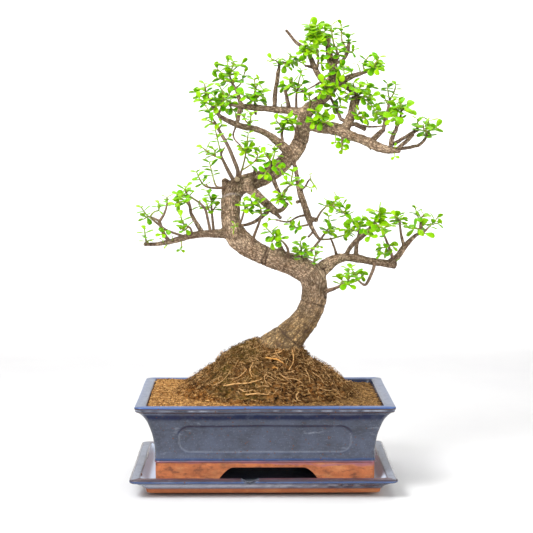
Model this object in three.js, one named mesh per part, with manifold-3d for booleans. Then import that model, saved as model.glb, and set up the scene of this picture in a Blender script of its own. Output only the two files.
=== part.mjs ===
// Potted dwarf jade bonsai: a tree in a glazed pot on its drip tray.
// Millimetres, +Z up. The origin is the middle of the tray's underside.
// The tree is laid out as its front elevation, seen from a little above: each point is
// [x, z, depth, radius], where x and z are read in the plane of the trunk and depth is how
// far the point lies behind that plane (negative is towards the viewer).

import * as THREE from "three";
import { mergeVertices } from "three/addons/utils/BufferGeometryUtils.js";
import Module from "manifold-3d";

const wasm = await Module();
wasm.setup();

// Driving dimensions
const gap = 0.3; // clearance between neighbouring pieces
const eye = new THREE.Vector3(-16, -1839, 427); // where the front elevation is seen from

const tray = { length: 313, width: 225, height: 19.6, floor: 9, rim: 12, baseLength: 272, baseWidth: 186 };
tray.lipUnder = 14.6; // underside of the glazed lip
tray.notch = { at: -16, width: 20, low: 13.1 }; // vee notch in the front wall, where water is poured off

const pot = { length: 304, width: 217, top: 104, rim: 12.5 };
pot.middle = 2; // it stands a little to the right of the tray's middle
pot.bottom = tray.floor + gap; // underside of the foot
pot.glazeEdge = 35.5; // where the glaze stops and the bare foot begins
pot.floorUnder = 29; // underside of the floor, between the feet
pot.floorTop = 37;
pot.footWall = 14;
// how far the outside lies within the rim's outline, at each height
pot.flare = [[35.5, 22], [38, 22.5], [49, 22.5], [58, 21.5], [68.5, 19.4], [78.5, 16], [86.5, 12.5]];
pot.flare.push([92.5, 8], [96.6, 3.6]);
// the same for the inside
pot.inside = [[37, 34], [45, 33], [62, 31], [78.5, 26.5], [87, 22], [95, 15.5], [105, 12]];
pot.arch = { at: 4, top: 42, bottom: 62 }; // the opening between the feet, front and back: half lengths
pot.hole = { radius: 11, at: 62 };
pot.panel = { left: -102, right: 102, low: 46, high: 79, corner: 12, sunk: 1.2 };

const drainMesh = { side: 34, thick: 1.2, openings: 2, strand: 4 };
const soil = { front: [103, 102], back: [103.8, 98], bump: 0.7 }; // heights of its surface, left and right
// outline of the mound that the tree stands on: height, then reach to the left, right, front and back
const mound = [
  [58, 44, 52, 34, 32], [72, 66, 74, 52, 46], [98, 110, 119, 86, 72], [108, 101, 111, 81, 67],
    [118, 88, 99, 74, 61],
  [128, 74, 86, 65, 55], [138, 57, 70, 54, 48], [148, 49, 53, 43, 40], [157, 33, 48, 32, 32],
    [164, 14, 42, 15, 22],
];
const moundMiddle = new THREE.Vector2(0, 2);

const leafThick = 1.9; // thickest point of a leaf
// half width as a share of length, lean from the stem and growth of the tip pair and the older ones,
// and the step between pairs as a share of length
const leafShape = { width: 0.34, lean: [0.92, 1.22], grow: [0.8, 1], step: 0.42, skyward: 0.8 };
const longestLeaf = 20;
const smallest = 0.1; // steps smaller than this are smoothed away
const woodSlack = 1.2; // how far a course of the wood, or of a shoot, may be straightened
const shootSlack = 3;
const leafCount = [0, 1, 0, 2, 2, 3]; // leaves modelled on a shoot of so many pairs
const woodColour = "#82715a";
const leafColour = "#76b81c";

// Colours and finishes
const paint = (color, roughness) => new THREE.MeshStandardMaterial({ color, roughness });
const glazed = paint("#5f6c7c", 0.25);
const trayGlaze = paint("#7f8b99", 0.25);
const coir = paint("#8a5a2e", 0.95);
const fibre = paint("#4d3a22", 0.95);
const plastic = paint("#1d1f20", 0.5);
const bark = paint(woodColour, 0.85);
const foliage = paint(leafColour, 0.4);

// A closed mesh as a solid
function toSolid(geometry) {
  const bare = geometry.clone();
  bare.deleteAttribute("normal");
  bare.deleteAttribute("uv");
  const merged = mergeVertices(bare, 1e-4);
  const vertProperties = new Float32Array(merged.attributes.position.array);
  const triVerts = new Uint32Array(merged.index.array);
  return new wasm.Manifold(new wasm.Mesh({ numProp: 3, vertProperties, triVerts }));
}

// A solid back as a mesh geometry
function toGeometry(solid) {
  const mesh = solid.getMesh();
  const geometry = new THREE.BufferGeometry();
  geometry.setAttribute("position", new THREE.BufferAttribute(new Float32Array(mesh.vertProperties), 3));
  geometry.setIndex(new THREE.BufferAttribute(new Uint32Array(mesh.triVerts), 1));
  geometry.computeVertexNormals();
  return geometry;
}

// Joins many solids in pairs, which is quicker than one after another
function joinAll(solids) {
  let rest = solids.slice();
  while (rest.length > 1) {
    const next = [];
    for (let i = 0; i < rest.length; i += 2) {
      next.push(i + 1 < rest.length ? rest[i].add(rest[i + 1]) : rest[i]);
    }
    rest = next;
  }
  return rest[0];
}

// The largest body of a solid: loose scraps are dropped
function mainBody(solid) {
  const bodies = solid.decompose();
  return bodies.reduce((best, body) => (body.volume() > best.volume() ? body : best));
}

// A repeatable number between 0 and 1 from two whole numbers
function chance(a, b) {
  const wave = Math.sin(a * 12.9898 + b * 78.233) * 43758.5453;
  return wave - Math.floor(wave);
}

// A point of the front elevation, moved along its sight line to its depth
function place(x, z, depth) {
  const reach = 1 + depth / -eye.y;
  return new THREE.Vector3(eye.x + (x - eye.x) * reach, depth, eye.z + (z - eye.z) * reach);
}

// A closed mesh from points and faces given as corner lists
function closedMesh(points, faces) {
  const position = [];
  for (const [a, b, c] of faces) {
    for (const corner of [a, b, c]) {
      position.push(points[corner].x, points[corner].y, points[corner].z);
    }
  }
  const geometry = new THREE.BufferGeometry();
  geometry.setAttribute("position", new THREE.BufferAttribute(new Float32Array(position), 3));
  return geometry;
}

// A course without the points that lie within slack of a straight taper past them
function straightened(course, slack) {
  const first = course[0];
  const last = course[course.length - 1];
  const run = last.map((value, i) => value - first[i]);
  const runSquared = run.reduce((sum, value) => sum + value * value, 0);
  let furthest = slack;
  let split = 0;
  course.forEach((point, at) => {
    const off = point.map((value, i) => value - first[i]);
    const share = off.reduce((sum, value, i) => sum + value * run[i], 0) / runSquared;
    const away = Math.hypot(...off.map((value, i) => value - share * run[i]));
    if (away > furthest) {
      furthest = away;
      split = at;
    }
  });
  if (split === 0) {
    return [first, last];
  }
  const lower = straightened(course.slice(0, split + 1), slack);
  return [...lower, ...straightened(course.slice(split), slack).slice(1)];
}

// A tapering round limb along a course of points, with flat ends
function limb(course, sides, extra = 0) {
  const centres = course.map(([x, z, depth]) => place(x, z, depth));
  const points = [];
  const faces = [];
  let side = new THREE.Vector3(0, -1, 0);
  centres.forEach((centre, i) => {
    const before = centres[Math.max(i - 1, 0)];
    const after = centres[Math.min(i + 1, centres.length - 1)];
    const along = after.clone().sub(before).normalize();
    const shift = i === 0 ? -extra : i === centres.length - 1 ? extra : 0;
    side.addScaledVector(along, -side.dot(along)).normalize();
    if (side.lengthSq() < 0.5) {
      side.set(1, 0, 0).addScaledVector(along, -along.x).normalize();
    }
    const up = along.clone().cross(side);
    for (let k = 0; k < sides; k += 1) {
      const turn = (2 * Math.PI * (k + 0.5)) / sides;
      const point = centre.clone().addScaledVector(along, shift);
      point.addScaledVector(side, (course[i][3] + extra) * Math.cos(turn));
      point.addScaledVector(up, (course[i][3] + extra) * Math.sin(turn));
      points.push(point);
    }
    side = side.clone();
  });
  const last = (centres.length - 1) * sides;
  for (let i = 0; i < centres.length - 1; i += 1) {
    for (let k = 0; k < sides; k += 1) {
      const a = i * sides + k;
      const b = i * sides + ((k + 1) % sides);
      faces.push([a, b, b + sides], [a, b + sides, a + sides]);
    }
  }
  for (let k = 1; k < sides - 1; k += 1) {
    faces.push([0, k + 1, k], [last, last + k, last + k + 1]);
  }
  return toSolid(closedMesh(points, faces));
}

// Trunk and branches, each grown from the one it starts in
const trunk = [
  [4, 126, 0, 31], [13, 147, 0, 27], [24, 162, 0, 22.5], [38, 177.5, 0, 17.5], [50.5, 192, 0, 15.3],
  [58.5, 206, 0, 15.2], [62.5, 219, 0, 15.4], [63.5, 234, 0, 15], [59, 247, -1, 15.2], [48.5, 255, -1, 14.2],
  [34, 261, -2, 12.8], [18, 267, -3, 12.3], [3, 271.2, -3, 11.6], [-10, 277.5, -4, 12],
    [-22, 285.5, -5, 12.8],
  [-32.5, 296, -6, 12.8], [-38, 309, -5, 11.6], [-39, 325, -4, 11], [-38.2, 341, -3, 11.4],
    [-32, 353.5, -1, 11.6],
  [-18, 360.5, 0, 10.6], [-2, 365.5, 1, 9.6], [12, 373.5, 2, 9.6], [24, 382.5, 3, 9.6], [36, 395, 4, 9.5],
  [44, 408, 5, 9.3], [48, 422, 5, 9.4], [50.5, 435, 4, 9.2],
];
const topTrunk = [
  [49, 426, 4, 8.4], [52, 444, 4, 8.6], [62, 453, 3, 7.2], [73, 461.5, 2, 6.6], [79.5, 470, 1, 7.2],
  [84, 480, 0, 7.8], [85.5, 490, -1, 6.8], [84.5, 500, -2, 5.5], [81, 510, -2, 4.4], [79, 521, -3, 3.7],
  [78, 537, -4, 3.5],
];
const branches = [
  // the low branch to the left, with its cut end
  [[-36, 298.5, -6, 7], [-52, 298.5, -8, 5.6], [-66, 298, -11, 4.7], [-80, 297, -14, 4.2],
    [-95, 293.5, -18, 3.9],
    [-110, 289.2, -22, 3.5], [-124, 286.2, -26, 2.9], [-136, 285.2, -30, 2.4], [-144, 285.6, -33, 2.6]],
  // the low branch to the right, with its cut end
  [[62, 243, 0, 11], [75, 257, 3, 9.4], [87, 265.5, 6, 7.2], [99, 269, 9, 5.6], [115, 267.8, 13, 5],
    [132, 264.5, 17, 4.7],
    [146, 262.2, 21, 4.6], [161.5, 259.6, 25, 5]],
  // the upper branch to the left
  [[53, 443, 4, 7], [38, 446, 8, 5.4], [20, 447.6, 14, 4.6], [4, 449.2, 20, 4.2],
    [-12, 450.8, 26, 4.2], [-29, 452, 32, 3.4]],
  // the long arched branch to the left, below it
  [[38, 391, 2, 8], [27, 401.5, -4, 6.2], [18, 409.3, -8, 5.2], [6, 418.4, -14, 4.2],
    [-9, 424.8, -20, 3.8], [-26, 428.2, -27, 3.7],
    [-40, 433.8, -33, 3.3], [-53, 440.5, -39, 2.9]],
  // the heavy branch to the right
  [[49, 432, 4, 8], [65, 427.8, -2, 7.2], [80, 426, -8, 7.4], [93, 423, -13, 7.4],
    [103, 418, -17, 6.2], [120, 412.5, -23, 5.8],
    [136, 404.8, -29, 5.7], [149, 400, -33, 5.4], [159, 399.2, -36, 4.6], [166, 398, -38, 3]],
  // the upright stub on it, cut flat
  [[97, 420, -14, 6.5], [104, 434, -14, 6], [109, 447, -15, 5.6], [112, 462.5, -16, 6]],
  // the cross branch in front of the trunk
  [[-20, 354, -6, 6.5], [-8, 346.5, -16, 5.4], [2, 336.5, -24, 5.3], [14.5, 325.5, -31, 5]],
  // the hanging leader in front, thickest in its middle
  [[37, 387, -2, 3], [40.5, 373, -11, 2.8], [42.5, 361, -15, 3.2], [45, 350, -18, 4.1],
    [50, 334, -21, 4.4], [56, 316.5, -22, 4.1],
    [59, 307, -22, 2.9], [65.5, 295.5, -21, 2.3], [70, 290.5, -20, 2]],
  // the thick right fork of the low branch, rising to the right edge
  [[152, 261, 22, 4.2], [164.5, 270.5, 26, 4], [171.5, 281, 30, 3.8], [179, 289.5, 34, 3],
    [186.5, 296.5, 38, 2.3]],
  // the two rising forks of the low right branch
  [[100, 270, 9, 3], [108, 283, 2, 2.9], [117, 292, -5, 3.6], [129, 302.5, -13.5, 3.3]],
  [[113.5, 268, 12, 3], [114, 282, 19, 2.7], [117, 297, 26, 2.3]],
  // the leaning twig to the left of the apex
  [[80, 474, 1, 5], [68.5, 488, 8, 3.8], [62, 500, 13, 3.6], [55.5, 514, 18, 3.2],
    [48.5, 522.3, 22, 2.7], [40, 528.5, 27, 2.3],
    [33, 537, 31, 2], [28, 543, 34, 1.9]],
  // right of the apex
  [[86, 484, -1, 5], [96, 483, -7, 4.4], [107, 487.8, -14, 3.4], [118, 491.3, -20, 2.6],
    [121.5, 492.5, -22, 2.4]],
  [[83, 478, 0, 5.5], [96, 478.5, -6, 4.2], [108, 469, -12, 2.4]],
];

// Twigs and short stubs, thinner and with fewer sides
const twigs = [
  // old cut stump at the trunk's upper bend, and two knobs
  [[-45.5, 346, -4, 5], [-45.5, 363.5, -4, 4.6]],
  [[-31, 362, 0, 4.6], [-31, 364, -17, 4]],
  [[22, 276, -3, 5], [22, 283.5, -3, 3]],
  // on the low left branch
  [[-74, 299, -13, 3.2], [-79.5, 309.5, -6, 2.7], [-86, 320.5, 0, 2.3], [-87.7, 328, 3, 2.2]],
  // on the low right branch
  [[90, 268, 7, 1.9], [88, 279, 0, 1.6], [82.5, 293, -9, 1.2]],
  [[171.5, 284, 31, 2.1], [168, 298, 24, 1.8]],
  // low on the trunk, to the right
  [[70, 227, -6, 3.6], [83, 229.5, -15, 2.6], [93, 233.5, -23, 1.6], [106, 240.5, -33, 1]],
  // off the sloping trunk
  // the cross branch's knob end, its stubs and the twig back to the trunk
  [[12, 324, -31, 3.4], [23, 327, -36, 2.9], [30, 335, -40, 2.6]],
  [[14, 325, -31, 2.9], [22, 317, -33, 2.2]],
  [[9, 328, -28, 3.2], [-4, 316.5, -22, 2.2], [-18, 309.5, -14, 1.9], [-30, 308, -6, 1.7]],
  [[29, 333, -39, 2], [22, 343, -42, 1.7], [16, 356, -38, 2.6], [10.5, 370, -33, 2.6]],
  // on the hanging leader
  [[57, 316, -22, 3.6], [66, 314.5, -27, 3]],
  [[53, 320.5, -22, 1.6], [43, 318.5, -29, 1.2], [30, 312.5, -37, 1.1], [16, 315, -45, 1]],
  [[44, 350, -18, 1.7], [50, 354, -26, 1.4], [57, 364.5, -34, 1.1]],
  [[46, 338, -20, 2.2], [41, 336.5, -25, 2]],
  [[62.3, 301.3, -21.6, 1.4], [55.5, 294, -26, 1.2]],
  // from the old stump
  [[-10, 364, -4, 2.4], [-10, 378, -10, 1.3]],
  // on the long arched branch
  [[-32, 429, -29, 1.4], [-35.5, 416, -36, 1.1], [-26, 403.5, -43, 0.9]],
  // on the upper left branch
  [[14.5, 448, 16, 3], [15, 465, 20, 2.7], [19.4, 497, 28.9, 2.3]],
  [[32, 448, 10, 2.7], [27.5, 471, 3, 2.2]],
  [[-25, 451, 31, 3.2], [-31, 470, 38, 2.5]],
  [[-26, 452, 31, 2.8], [-29, 441, 26, 2.5], [-32, 430, 20, 2.2]],
  [[-9, 448, 25, 2], [-8.5, 442, 23, 1.5]],
  // on the heavy right branch
  [[100, 427, -13, 2.6], [112, 431, -19, 2.1], [124, 427.8, -27, 1.3], [140, 427.5, -37, 1.1],
    [152, 430.5, -45, 1.1]],
  [[113, 430, -20, 2.5], [124, 424, -24, 2.3]],
  [[130, 407, -27, 4], [138, 416.5, -22, 3.5], [146, 424, -17, 2.8]],
  [[154, 401, -34, 2.9], [156.5, 413, -42, 2.6], [166, 436, -54, 1.9]],
  [[156, 406, -37, 2.4], [170, 413.5, -29, 2.3], [187.5, 424.5, -19, 2.6]],
  [[162, 400, -37, 2.5], [172, 408.5, -45, 2.3], [182, 418, -53, 2]],
  [[163, 400.5, -37, 2.3], [182, 403.5, -34, 1.9], [192, 408, -31, 1.9], [199, 417, -28, 1.6]],
  [[129, 406, -27, 1.7], [130, 400, -27, 1]],
  [[96, 417, -15, 1.8], [96, 399, -21, 1.3]],
  // at the apex
  [[60, 499, 13, 2.2], [51, 501, 8, 1.5]],
  [[74, 484, 4, 1.5], [60, 475.3, -5, 1], [46, 469.5, -13, 0.9]],
];

// A leafy shoot: pairs of leaves from its tip down, each leaf this long, along a course of points
const shoot = (pairs, size, course) => ({ pairs, size, course });
// A bare stem that carries shoots
const stem = (course) => ({ pairs: 0, size: 0, course });

// Leafy sprays: the thin twig that each grows on, with its shoots
const sprays = {
  low_left_tip: [
    shoot(4, 12, [[-141, 286, -32, 1.4], [-142.5, 295, -34, 1], [-143.5, 304, -37, 0.8]]),
  ],
  low_left_rising: [
    stem([[-114, 289.5, -23, 2.6], [-119.5, 297, -26, 2.3], [-123.5, 307, -29, 2.2],
      [-125.5, 314, -31, 2.1]]),
    shoot(3, 12, [[-125.5, 313, -31, 2], [-120, 321.5, -34, 1.6], [-116.5, 332, -37, 1.2],
      [-116, 343, -40, 0.9]]),
    shoot(3, 12, [[-124.5, 313, -30, 1.8], [-133, 317.5, -28, 1.3], [-140, 320, -26, 1],
      [-147, 330, -30, 0.8]]),
    shoot(2, 11, [[-138, 319.5, -26, 1], [-144, 316, -22, 0.8]]),
  ],
  low_left_grey: [
    stem([[-96, 295, -21, 1.6], [-108, 299, -27, 1.5], [-118, 303.2, -34, 1.5],
      [-129, 311.5, -43, 1.4], [-137, 318.5, -50, 1.2]]),
    shoot(3, 10, [[-137, 318.5, -50, 1.1], [-132, 324.5, -53, 1], [-126, 327, -56, 0.9],
      [-126, 335, -59, 0.8]]),
    shoot(3, 11, [[-118, 303, -34, 1], [-123, 297, -41, 0.8]]),
  ],
  low_left_cut: [
    stem([[-87.5, 327.5, 3, 2], [-89.5, 336.5, 6, 1.8]]),
    shoot(3, 14, [[-88.7, 332, 4.5, 1.5], [-94, 338, -2, 1.1], [-101, 342, -6, 0.9]]),
    shoot(3, 15, [[-93, 337, -2, 1.1], [-100, 337, -10, 0.9], [-106, 334, -15, 0.8]]),
    shoot(2, 13, [[-89.3, 335, 5.5, 1.2], [-90, 340, 12, 0.9], [-96, 344, 22, 0.8]]),
  ],
  low_left_long: [
    stem([[-63.5, 300, -13, 2], [-66.5, 314.5, -20, 1.7], [-70, 328, -26, 1.6], [-77, 336.3, -32, 1.3]]),
    shoot(4, 13, [[-76, 335.5, -31, 1.3], [-90, 344.8, -38, 1.1], [-94, 351, -42, 0.9],
      [-92, 356, -46, 0.8]]),
    shoot(1, 14, [[-71, 329, -26, 1.2], [-77, 331.5, -22, 0.8]]),
    shoot(3, 12, [[-90, 344.5, -38, 1], [-96, 345, -46, 0.9], [-102, 346, -53, 0.8]]),
  ],
  low_left_upright: [
    stem([[-59.5, 301, -6, 1.9], [-60.7, 313, 2, 1.7], [-62, 328, 9, 1.4], [-62, 340, 14, 1.1]]),
    shoot(4, 13, [[-62, 338, 13, 1], [-64.5, 345, 10, 0.9], [-67, 351, 7, 0.8]]),
    shoot(3, 13, [[-61.5, 322, 6, 1.2], [-66, 328, 1, 1], [-68, 335, -4, 0.8]]),
    shoot(3, 12, [[-62, 336, 12, 1], [-57, 341, 17, 0.8]]),
    shoot(2, 12, [[-61.5, 325, 7, 1.1], [-57, 331, 14, 0.8]]),
  ],
  low_left_middle: [
    shoot(4, 13, [[-86, 298, -19, 1.5], [-88, 305, -25, 1.3], [-96, 310, -31, 1], [-99.5, 319, -36, 0.8]]),
    shoot(3, 11, [[-90, 306.5, -26, 1], [-96, 302, -33, 0.9], [-98, 306, -37, 0.8]]),
  ],
  stump_low: [
    shoot(4, 13, [[-46, 354, -8, 1.9], [-58, 353.5, -18, 1.5], [-69, 355.5, -27, 1.2],
      [-75, 362, -33, 1], [-80, 373, -38, 0.8]]),
    shoot(1, 9, [[-67, 355, -26, 1], [-68, 358.5, -30, 0.8]]),
  ],
  stump_high: [
    shoot(4, 14, [[-46, 354, 4, 1.6], [-56, 355.5, 13, 1.3], [-60.5, 368, 22, 1], [-64.5, 385, 30, 0.8]]),
  ],
  stump_dark: [
    stem([[-36, 364, -12, 2.6], [-41, 373, -16, 2.4], [-46, 383, -21, 2], [-50.3, 394, -27, 1.5],
      [-46, 402.5, -31, 1]]),
    shoot(4, 13, [[-48, 388, -23, 1.2], [-60, 393, -30, 0.9], [-73, 402.5, -37, 0.8]]),
    shoot(3, 13, [[-57, 392, -28, 1], [-58.5, 400, -34, 0.8]]),
    shoot(4, 12, [[-50, 393, -26, 1.2], [-53, 406, -33, 0.9], [-57, 423, -41, 0.8]]),
  ],
  stump_long: [
    stem([[-31, 365, 6, 2.7], [-30, 374, 8, 2.6], [-35, 388, 13, 2.5], [-42.5, 405.5, 20, 2.3],
      [-54, 425.5, 28, 2], [-58, 434, 31, 1.3]]),
    shoot(4, 14, [[-57.5, 432, 30, 1.1], [-63, 443, 35, 0.9], [-69, 453, 40, 0.8]]),
    shoot(3, 14, [[-56, 430, 29, 1.2], [-66, 435, 22, 0.8]]),
    shoot(2, 11, [[-53, 424, 27, 1.2], [-49, 431, 20, 0.8]]),
    shoot(2, 10, [[-46, 411, 22, 1.1], [-41, 414, 29, 0.8]]),
  ],
  bend_green: [
    shoot(4, 13, [[-28, 368, -12, 1.6], [-24, 380, -18, 1.2], [-20.5, 396, -24, 1], [-17.5, 420, -32, 0.8]]),
    shoot(3, 13, [[-20.3, 398, -24, 0.9], [-24, 402, -31, 0.8]]),
    shoot(3, 13, [[-20, 402, -26, 0.9], [-14, 402, -20, 0.8], [-9, 400, -15, 0.7]]),
    shoot(4, 15, [[-25.5, 375, -16, 1.1], [-15, 381.5, -26, 0.9], [-8, 388, -32, 0.9], [-6, 395, -36, 0.8]]),
  ],
  front_upright: [
    stem([[10.5, 369, -33.2, 2.3], [11.5, 386, -28, 1.6]]),
    shoot(4, 15, [[11, 383, -29, 1.3], [7, 390, -34, 1], [2, 396, -39, 0.9]]),
    shoot(3, 14, [[11.4, 385, -29, 1.2], [14, 395, -25, 0.9], [14, 404, -22, 0.8]]),
    shoot(3, 13, [[11, 377, -31, 1.2], [17, 378.5, -37, 0.9], [22, 377, -41, 0.8]]),
    shoot(2, 14, [[10.5, 374, -32, 1.1], [5, 374, -39, 0.9], [2, 369, -43, 0.8]]),
  ],
  inner_cluster: [
    stem([[-13, 287, -12, 2], [-10, 297, -19, 1.8], [-5, 310, -29, 1.6], [-1, 322, -35, 1.3]]),
    shoot(5, 14, [[-1.5, 321, -35, 1.2], [-3, 330, -39, 1], [-8, 340, -43, 0.8]]),
    stem([[-29, 307, -14, 1.7], [-25, 317, -21, 1.4], [-21, 329, -28, 1.1], [-12, 335, -38, 1],
      [-5, 334, -40.5, 1]]),
    shoot(3, 13, [[-21.5, 328, -28, 1], [-23, 337, -33, 0.8]]),
    shoot(3, 13, [[-13, 334.5, -37, 1], [-15, 341, -45, 0.8]]),
    shoot(2, 12, [[-20, 330, -29, 0.9], [-17, 328, -36, 0.8]]),
  ],
  ring_twig: [
    stem([[25, 338.5, -46, 1.3], [24, 344.5, -48, 1.2], [30, 354, -51, 1.2], [36.5, 357.5, -54, 1]]),
    shoot(4, 13, [[24, 343, -48, 1.1], [20, 347, -52, 0.8]]),
    shoot(3, 12, [[25, 339.5, -46, 1.1], [31, 339, -51, 0.8]]),
    shoot(2, 12, [[24.5, 341, -47, 1.1], [17, 338.5, -51, 0.8]]),
    shoot(4, 14, [[35, 357, -53, 1], [35, 365, -56, 0.9], [36.5, 373, -59, 0.8]]),
    shoot(2, 12, [[34, 356.5, -53, 1], [29, 362, -59, 0.8]]),
    shoot(2, 13, [[36, 357.5, -54, 1], [44, 358, -60, 0.8]]),
  ],
  leader_left: [
    shoot(4, 13, [[54, 308.5, -25, 1.4], [46, 307, -32, 1.1], [39, 305, -38, 0.9], [34, 310, -43, 0.8]]),
  ],
  leader_right: [
    stem([[66, 316.5, -30, 1.5], [71, 325, -35, 1.3], [78, 332, -41, 1]]),
    shoot(4, 13, [[77, 331, -40, 1], [85, 334, -45, 0.9], [91, 342, -50, 0.8]]),
    shoot(3, 13, [[77, 331.5, -41, 1], [80, 337, -37, 0.8]]),
    shoot(2, 11, [[84, 333.5, -45, 0.9], [89, 328, -40, 0.8]]),
  ],
  back_fork: [
    stem([[117, 296, 25.6, 2.1], [117, 306, 30, 1.7], [110, 312.5, 34, 1.3], [100, 322, 40, 1.1]]),
    shoot(5, 14, [[102, 320, 39, 1.1], [95, 327, 43, 1], [90, 333, 46, 0.8]]),
    shoot(4, 13, [[115, 307, 31, 1.2], [118, 312, 36, 0.9], [123, 315, 41, 0.8]]),
    shoot(3, 14, [[117, 301, 28, 1.3], [109, 302, 22, 1], [102, 303, 16, 0.8]]),
    shoot(3, 13, [[110, 312.5, 34, 1.1], [108, 316, 27, 0.9], [112, 312, 20, 0.8]]),
    shoot(3, 13, [[100, 321.5, 40, 1.1], [101, 326, 50, 0.9], [97, 333, 58, 0.8]]),
  ],
  low_middle: [
    stem([[55, 272, 10, 1.9], [64, 283.5, 18, 1.7], [70.5, 291.5, 25, 1.6], [79, 303, 33, 1.2]]),
    shoot(5, 14, [[78, 301.5, 32, 1.1], [81, 308, 36, 0.9], [80, 319, 40, 0.8]]),
    shoot(3, 13, [[77, 300, 31, 1.1], [82, 301, 25, 0.9], [86, 303, 20, 0.8]]),
    shoot(3, 12, [[71, 291, 25, 1.3], [82, 291.5, 30, 1.1], [98, 296, 37, 1], [108, 299, 42, 0.8]]),
    shoot(1, 8, [[66, 286, 20, 1.1], [68.5, 282, 14, 0.8]]),
  ],
  trunk_top_left: [
    stem([[31, 270, -12, 1.9], [30.5, 279, -19, 1.7], [26, 286.5, -25, 1.3], [20, 291.5, -30, 1]]),
    shoot(5, 14, [[21, 290.5, -29, 1.1], [14, 295, -33, 0.9], [5, 304.5, -38, 0.8]]),
    shoot(3, 14, [[20, 291, -30, 1], [20, 295, -38, 0.8]]),
    shoot(2, 14, [[15, 294, -33, 1], [11, 288, -38, 0.8]]),
  ],
  trunk_top_middle: [
    shoot(5, 14, [[48, 265, -9, 1.5], [47, 276, -15, 1.2], [45.5, 289, -21, 0.8]]),
    shoot(3, 13, [[47.5, 272, -13, 1.1], [52, 276, -20, 0.9], [56, 280, -26, 0.8]]),
    shoot(3, 12, [[47.3, 274, -14, 1], [42, 279, -21, 0.8]]),
  ],
  fork_sprout: [
    shoot(4, 12, [[62.5, 258, -10, 1.2], [63, 268, -15, 0.9], [66, 276, -19, 0.8]]),
  ],
  low_trunk_right: [
    stem([[80, 228.7, -14, 2.5], [87, 231, -20, 2], [96, 235, -27, 1.4], [106, 240.5, -34, 1]]),
    shoot(4, 14, [[104, 239.5, -33, 1], [105, 247, -37, 0.9], [104, 256, -41, 0.8]]),
    shoot(3, 14, [[94, 234.3, -26, 1.1], [97, 240, -20, 0.9], [94, 245, -15, 0.8]]),
    shoot(2, 13, [[102, 238.5, -31, 1], [105, 235, -39, 0.8]]),
  ],
  hanging_right: [
    stem([[136, 259.5, 10, 2.2], [133.5, 251.5, 6, 2.1], [126, 236, 0, 1.9], [119, 238, -5, 1.3]]),
    shoot(4, 15, [[120, 237.8, -4, 1.4], [113, 245, -9, 1], [109, 255, -14, 0.8]]),
    shoot(3, 13, [[114, 243.5, -8, 1], [116, 250, 0, 0.9], [121, 248, 6, 0.8]]),
  ],
  front_fork: [
    stem([[128.6, 302, -13.3, 2.8], [134, 309, -18, 2.2], [141, 319, -23, 1.3]]),
    shoot(4, 15, [[139, 316.5, -21.8, 1.3], [142, 324, -27, 0.9], [136, 326, -31, 0.8]]),
    shoot(3, 15, [[141, 319, -24, 1.2], [146, 323, -19, 0.8]]),
    shoot(4, 15, [[136, 312.5, -20, 1.3], [139, 309, -28, 1], [144, 305, -34, 0.8]]),
    shoot(2, 14, [[133, 308, -17, 1.3], [130, 312, -9, 0.8]]),
    shoot(3, 14, [[132, 306.5, -16, 1.3], [127, 300, -26, 0.9], [131, 294, -32, 0.8]]),
  ],
  right_slant: [
    stem([[157.5, 270, 20, 2], [155, 278, 17, 1.9], [147, 298, 7, 1.3]]),
    shoot(4, 14, [[148, 296, 8, 1.3], [147, 304, 3, 0.9], [153, 308, -2, 0.8]]),
    shoot(3, 13, [[154.5, 279.5, 16, 1.2], [151, 274, 10, 0.9], [144, 273, 5, 0.8]]),
    shoot(3, 13, [[153, 283, 14, 1.1], [148, 281, 20, 0.9], [143, 281, 26, 0.8]]),
    shoot(2, 13, [[152.5, 284.5, 14, 1.1], [158, 283, 8, 0.8]]),
  ],
  right_upright: [
    stem([[168.2, 297, 24.5, 1.7], [166, 315, 16, 1.4]]),
    shoot(4, 13, [[167, 309, 19, 1.5], [166, 315, 16, 1.1], [160, 320, 12, 0.8]]),
    shoot(3, 12, [[166.3, 313, 17, 1.1], [170, 317, 24, 0.8]]),
    shoot(3, 13, [[166.6, 311, 18, 1.1], [162, 315, 26, 0.9], [164, 321, 32, 0.8]]),
  ],
  right_end: [
    stem([[185.8, 296.2, 37.6, 2.2], [196, 300.5, 43, 1.7], [202, 306, 47, 1.1]]),
    shoot(4, 13, [[201, 305, 46, 1.1], [207, 311, 49, 0.9], [213, 318, 52, 0.8]]),
    shoot(1, 14, [[207, 311, 49, 0.9], [213, 310, 46, 0.8]]),
    shoot(1, 18, [[195, 300, 42, 1.2], [197, 298, 38, 0.9]]),
    stem([[192, 299.5, 41, 2.2], [192, 309, 46, 2], [192.5, 318, 51, 1.3]]),
    shoot(3, 11, [[191.8, 312, 48, 1.2], [188, 320, 52, 0.9], [185.5, 329, 56, 0.8]]),
    shoot(3, 13, [[192.4, 317, 50, 1.1], [196, 321, 44, 0.8]]),
    shoot(3, 15, [[192, 304, 43, 1.3], [186, 304, 36, 1], [180, 305, 30, 0.8]]),
    shoot(2, 13, [[192, 306, 44, 1.3], [197, 309, 50, 0.8]]),
  ],
  right_tip_small: [
    shoot(4, 11, [[187.3, 425.5, -19, 1.7], [187.5, 429, -21, 1.1], [187, 437, -25, 0.8]]),
  ],
  right_tip_big: [
    shoot(5, 16, [[198.3, 416, -28, 1.4], [198, 424, -31, 1.1], [201, 435, -36, 0.8]]),
    shoot(3, 15, [[198, 421, -30, 1.1], [205, 424, -25, 0.9], [210, 427, -20, 0.8]]),
    shoot(3, 15, [[198, 420, -30, 1.1], [195, 424, -38, 0.9], [194, 430, -45, 0.8]]),
  ],
  right_front: [
    stem([[164.5, 432.5, -53, 1.8], [167, 443, -58, 1.3], [167, 454, -62, 1]]),
    shoot(5, 15, [[167, 450, -61, 1.1], [164, 460, -64, 0.8]]),
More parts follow.
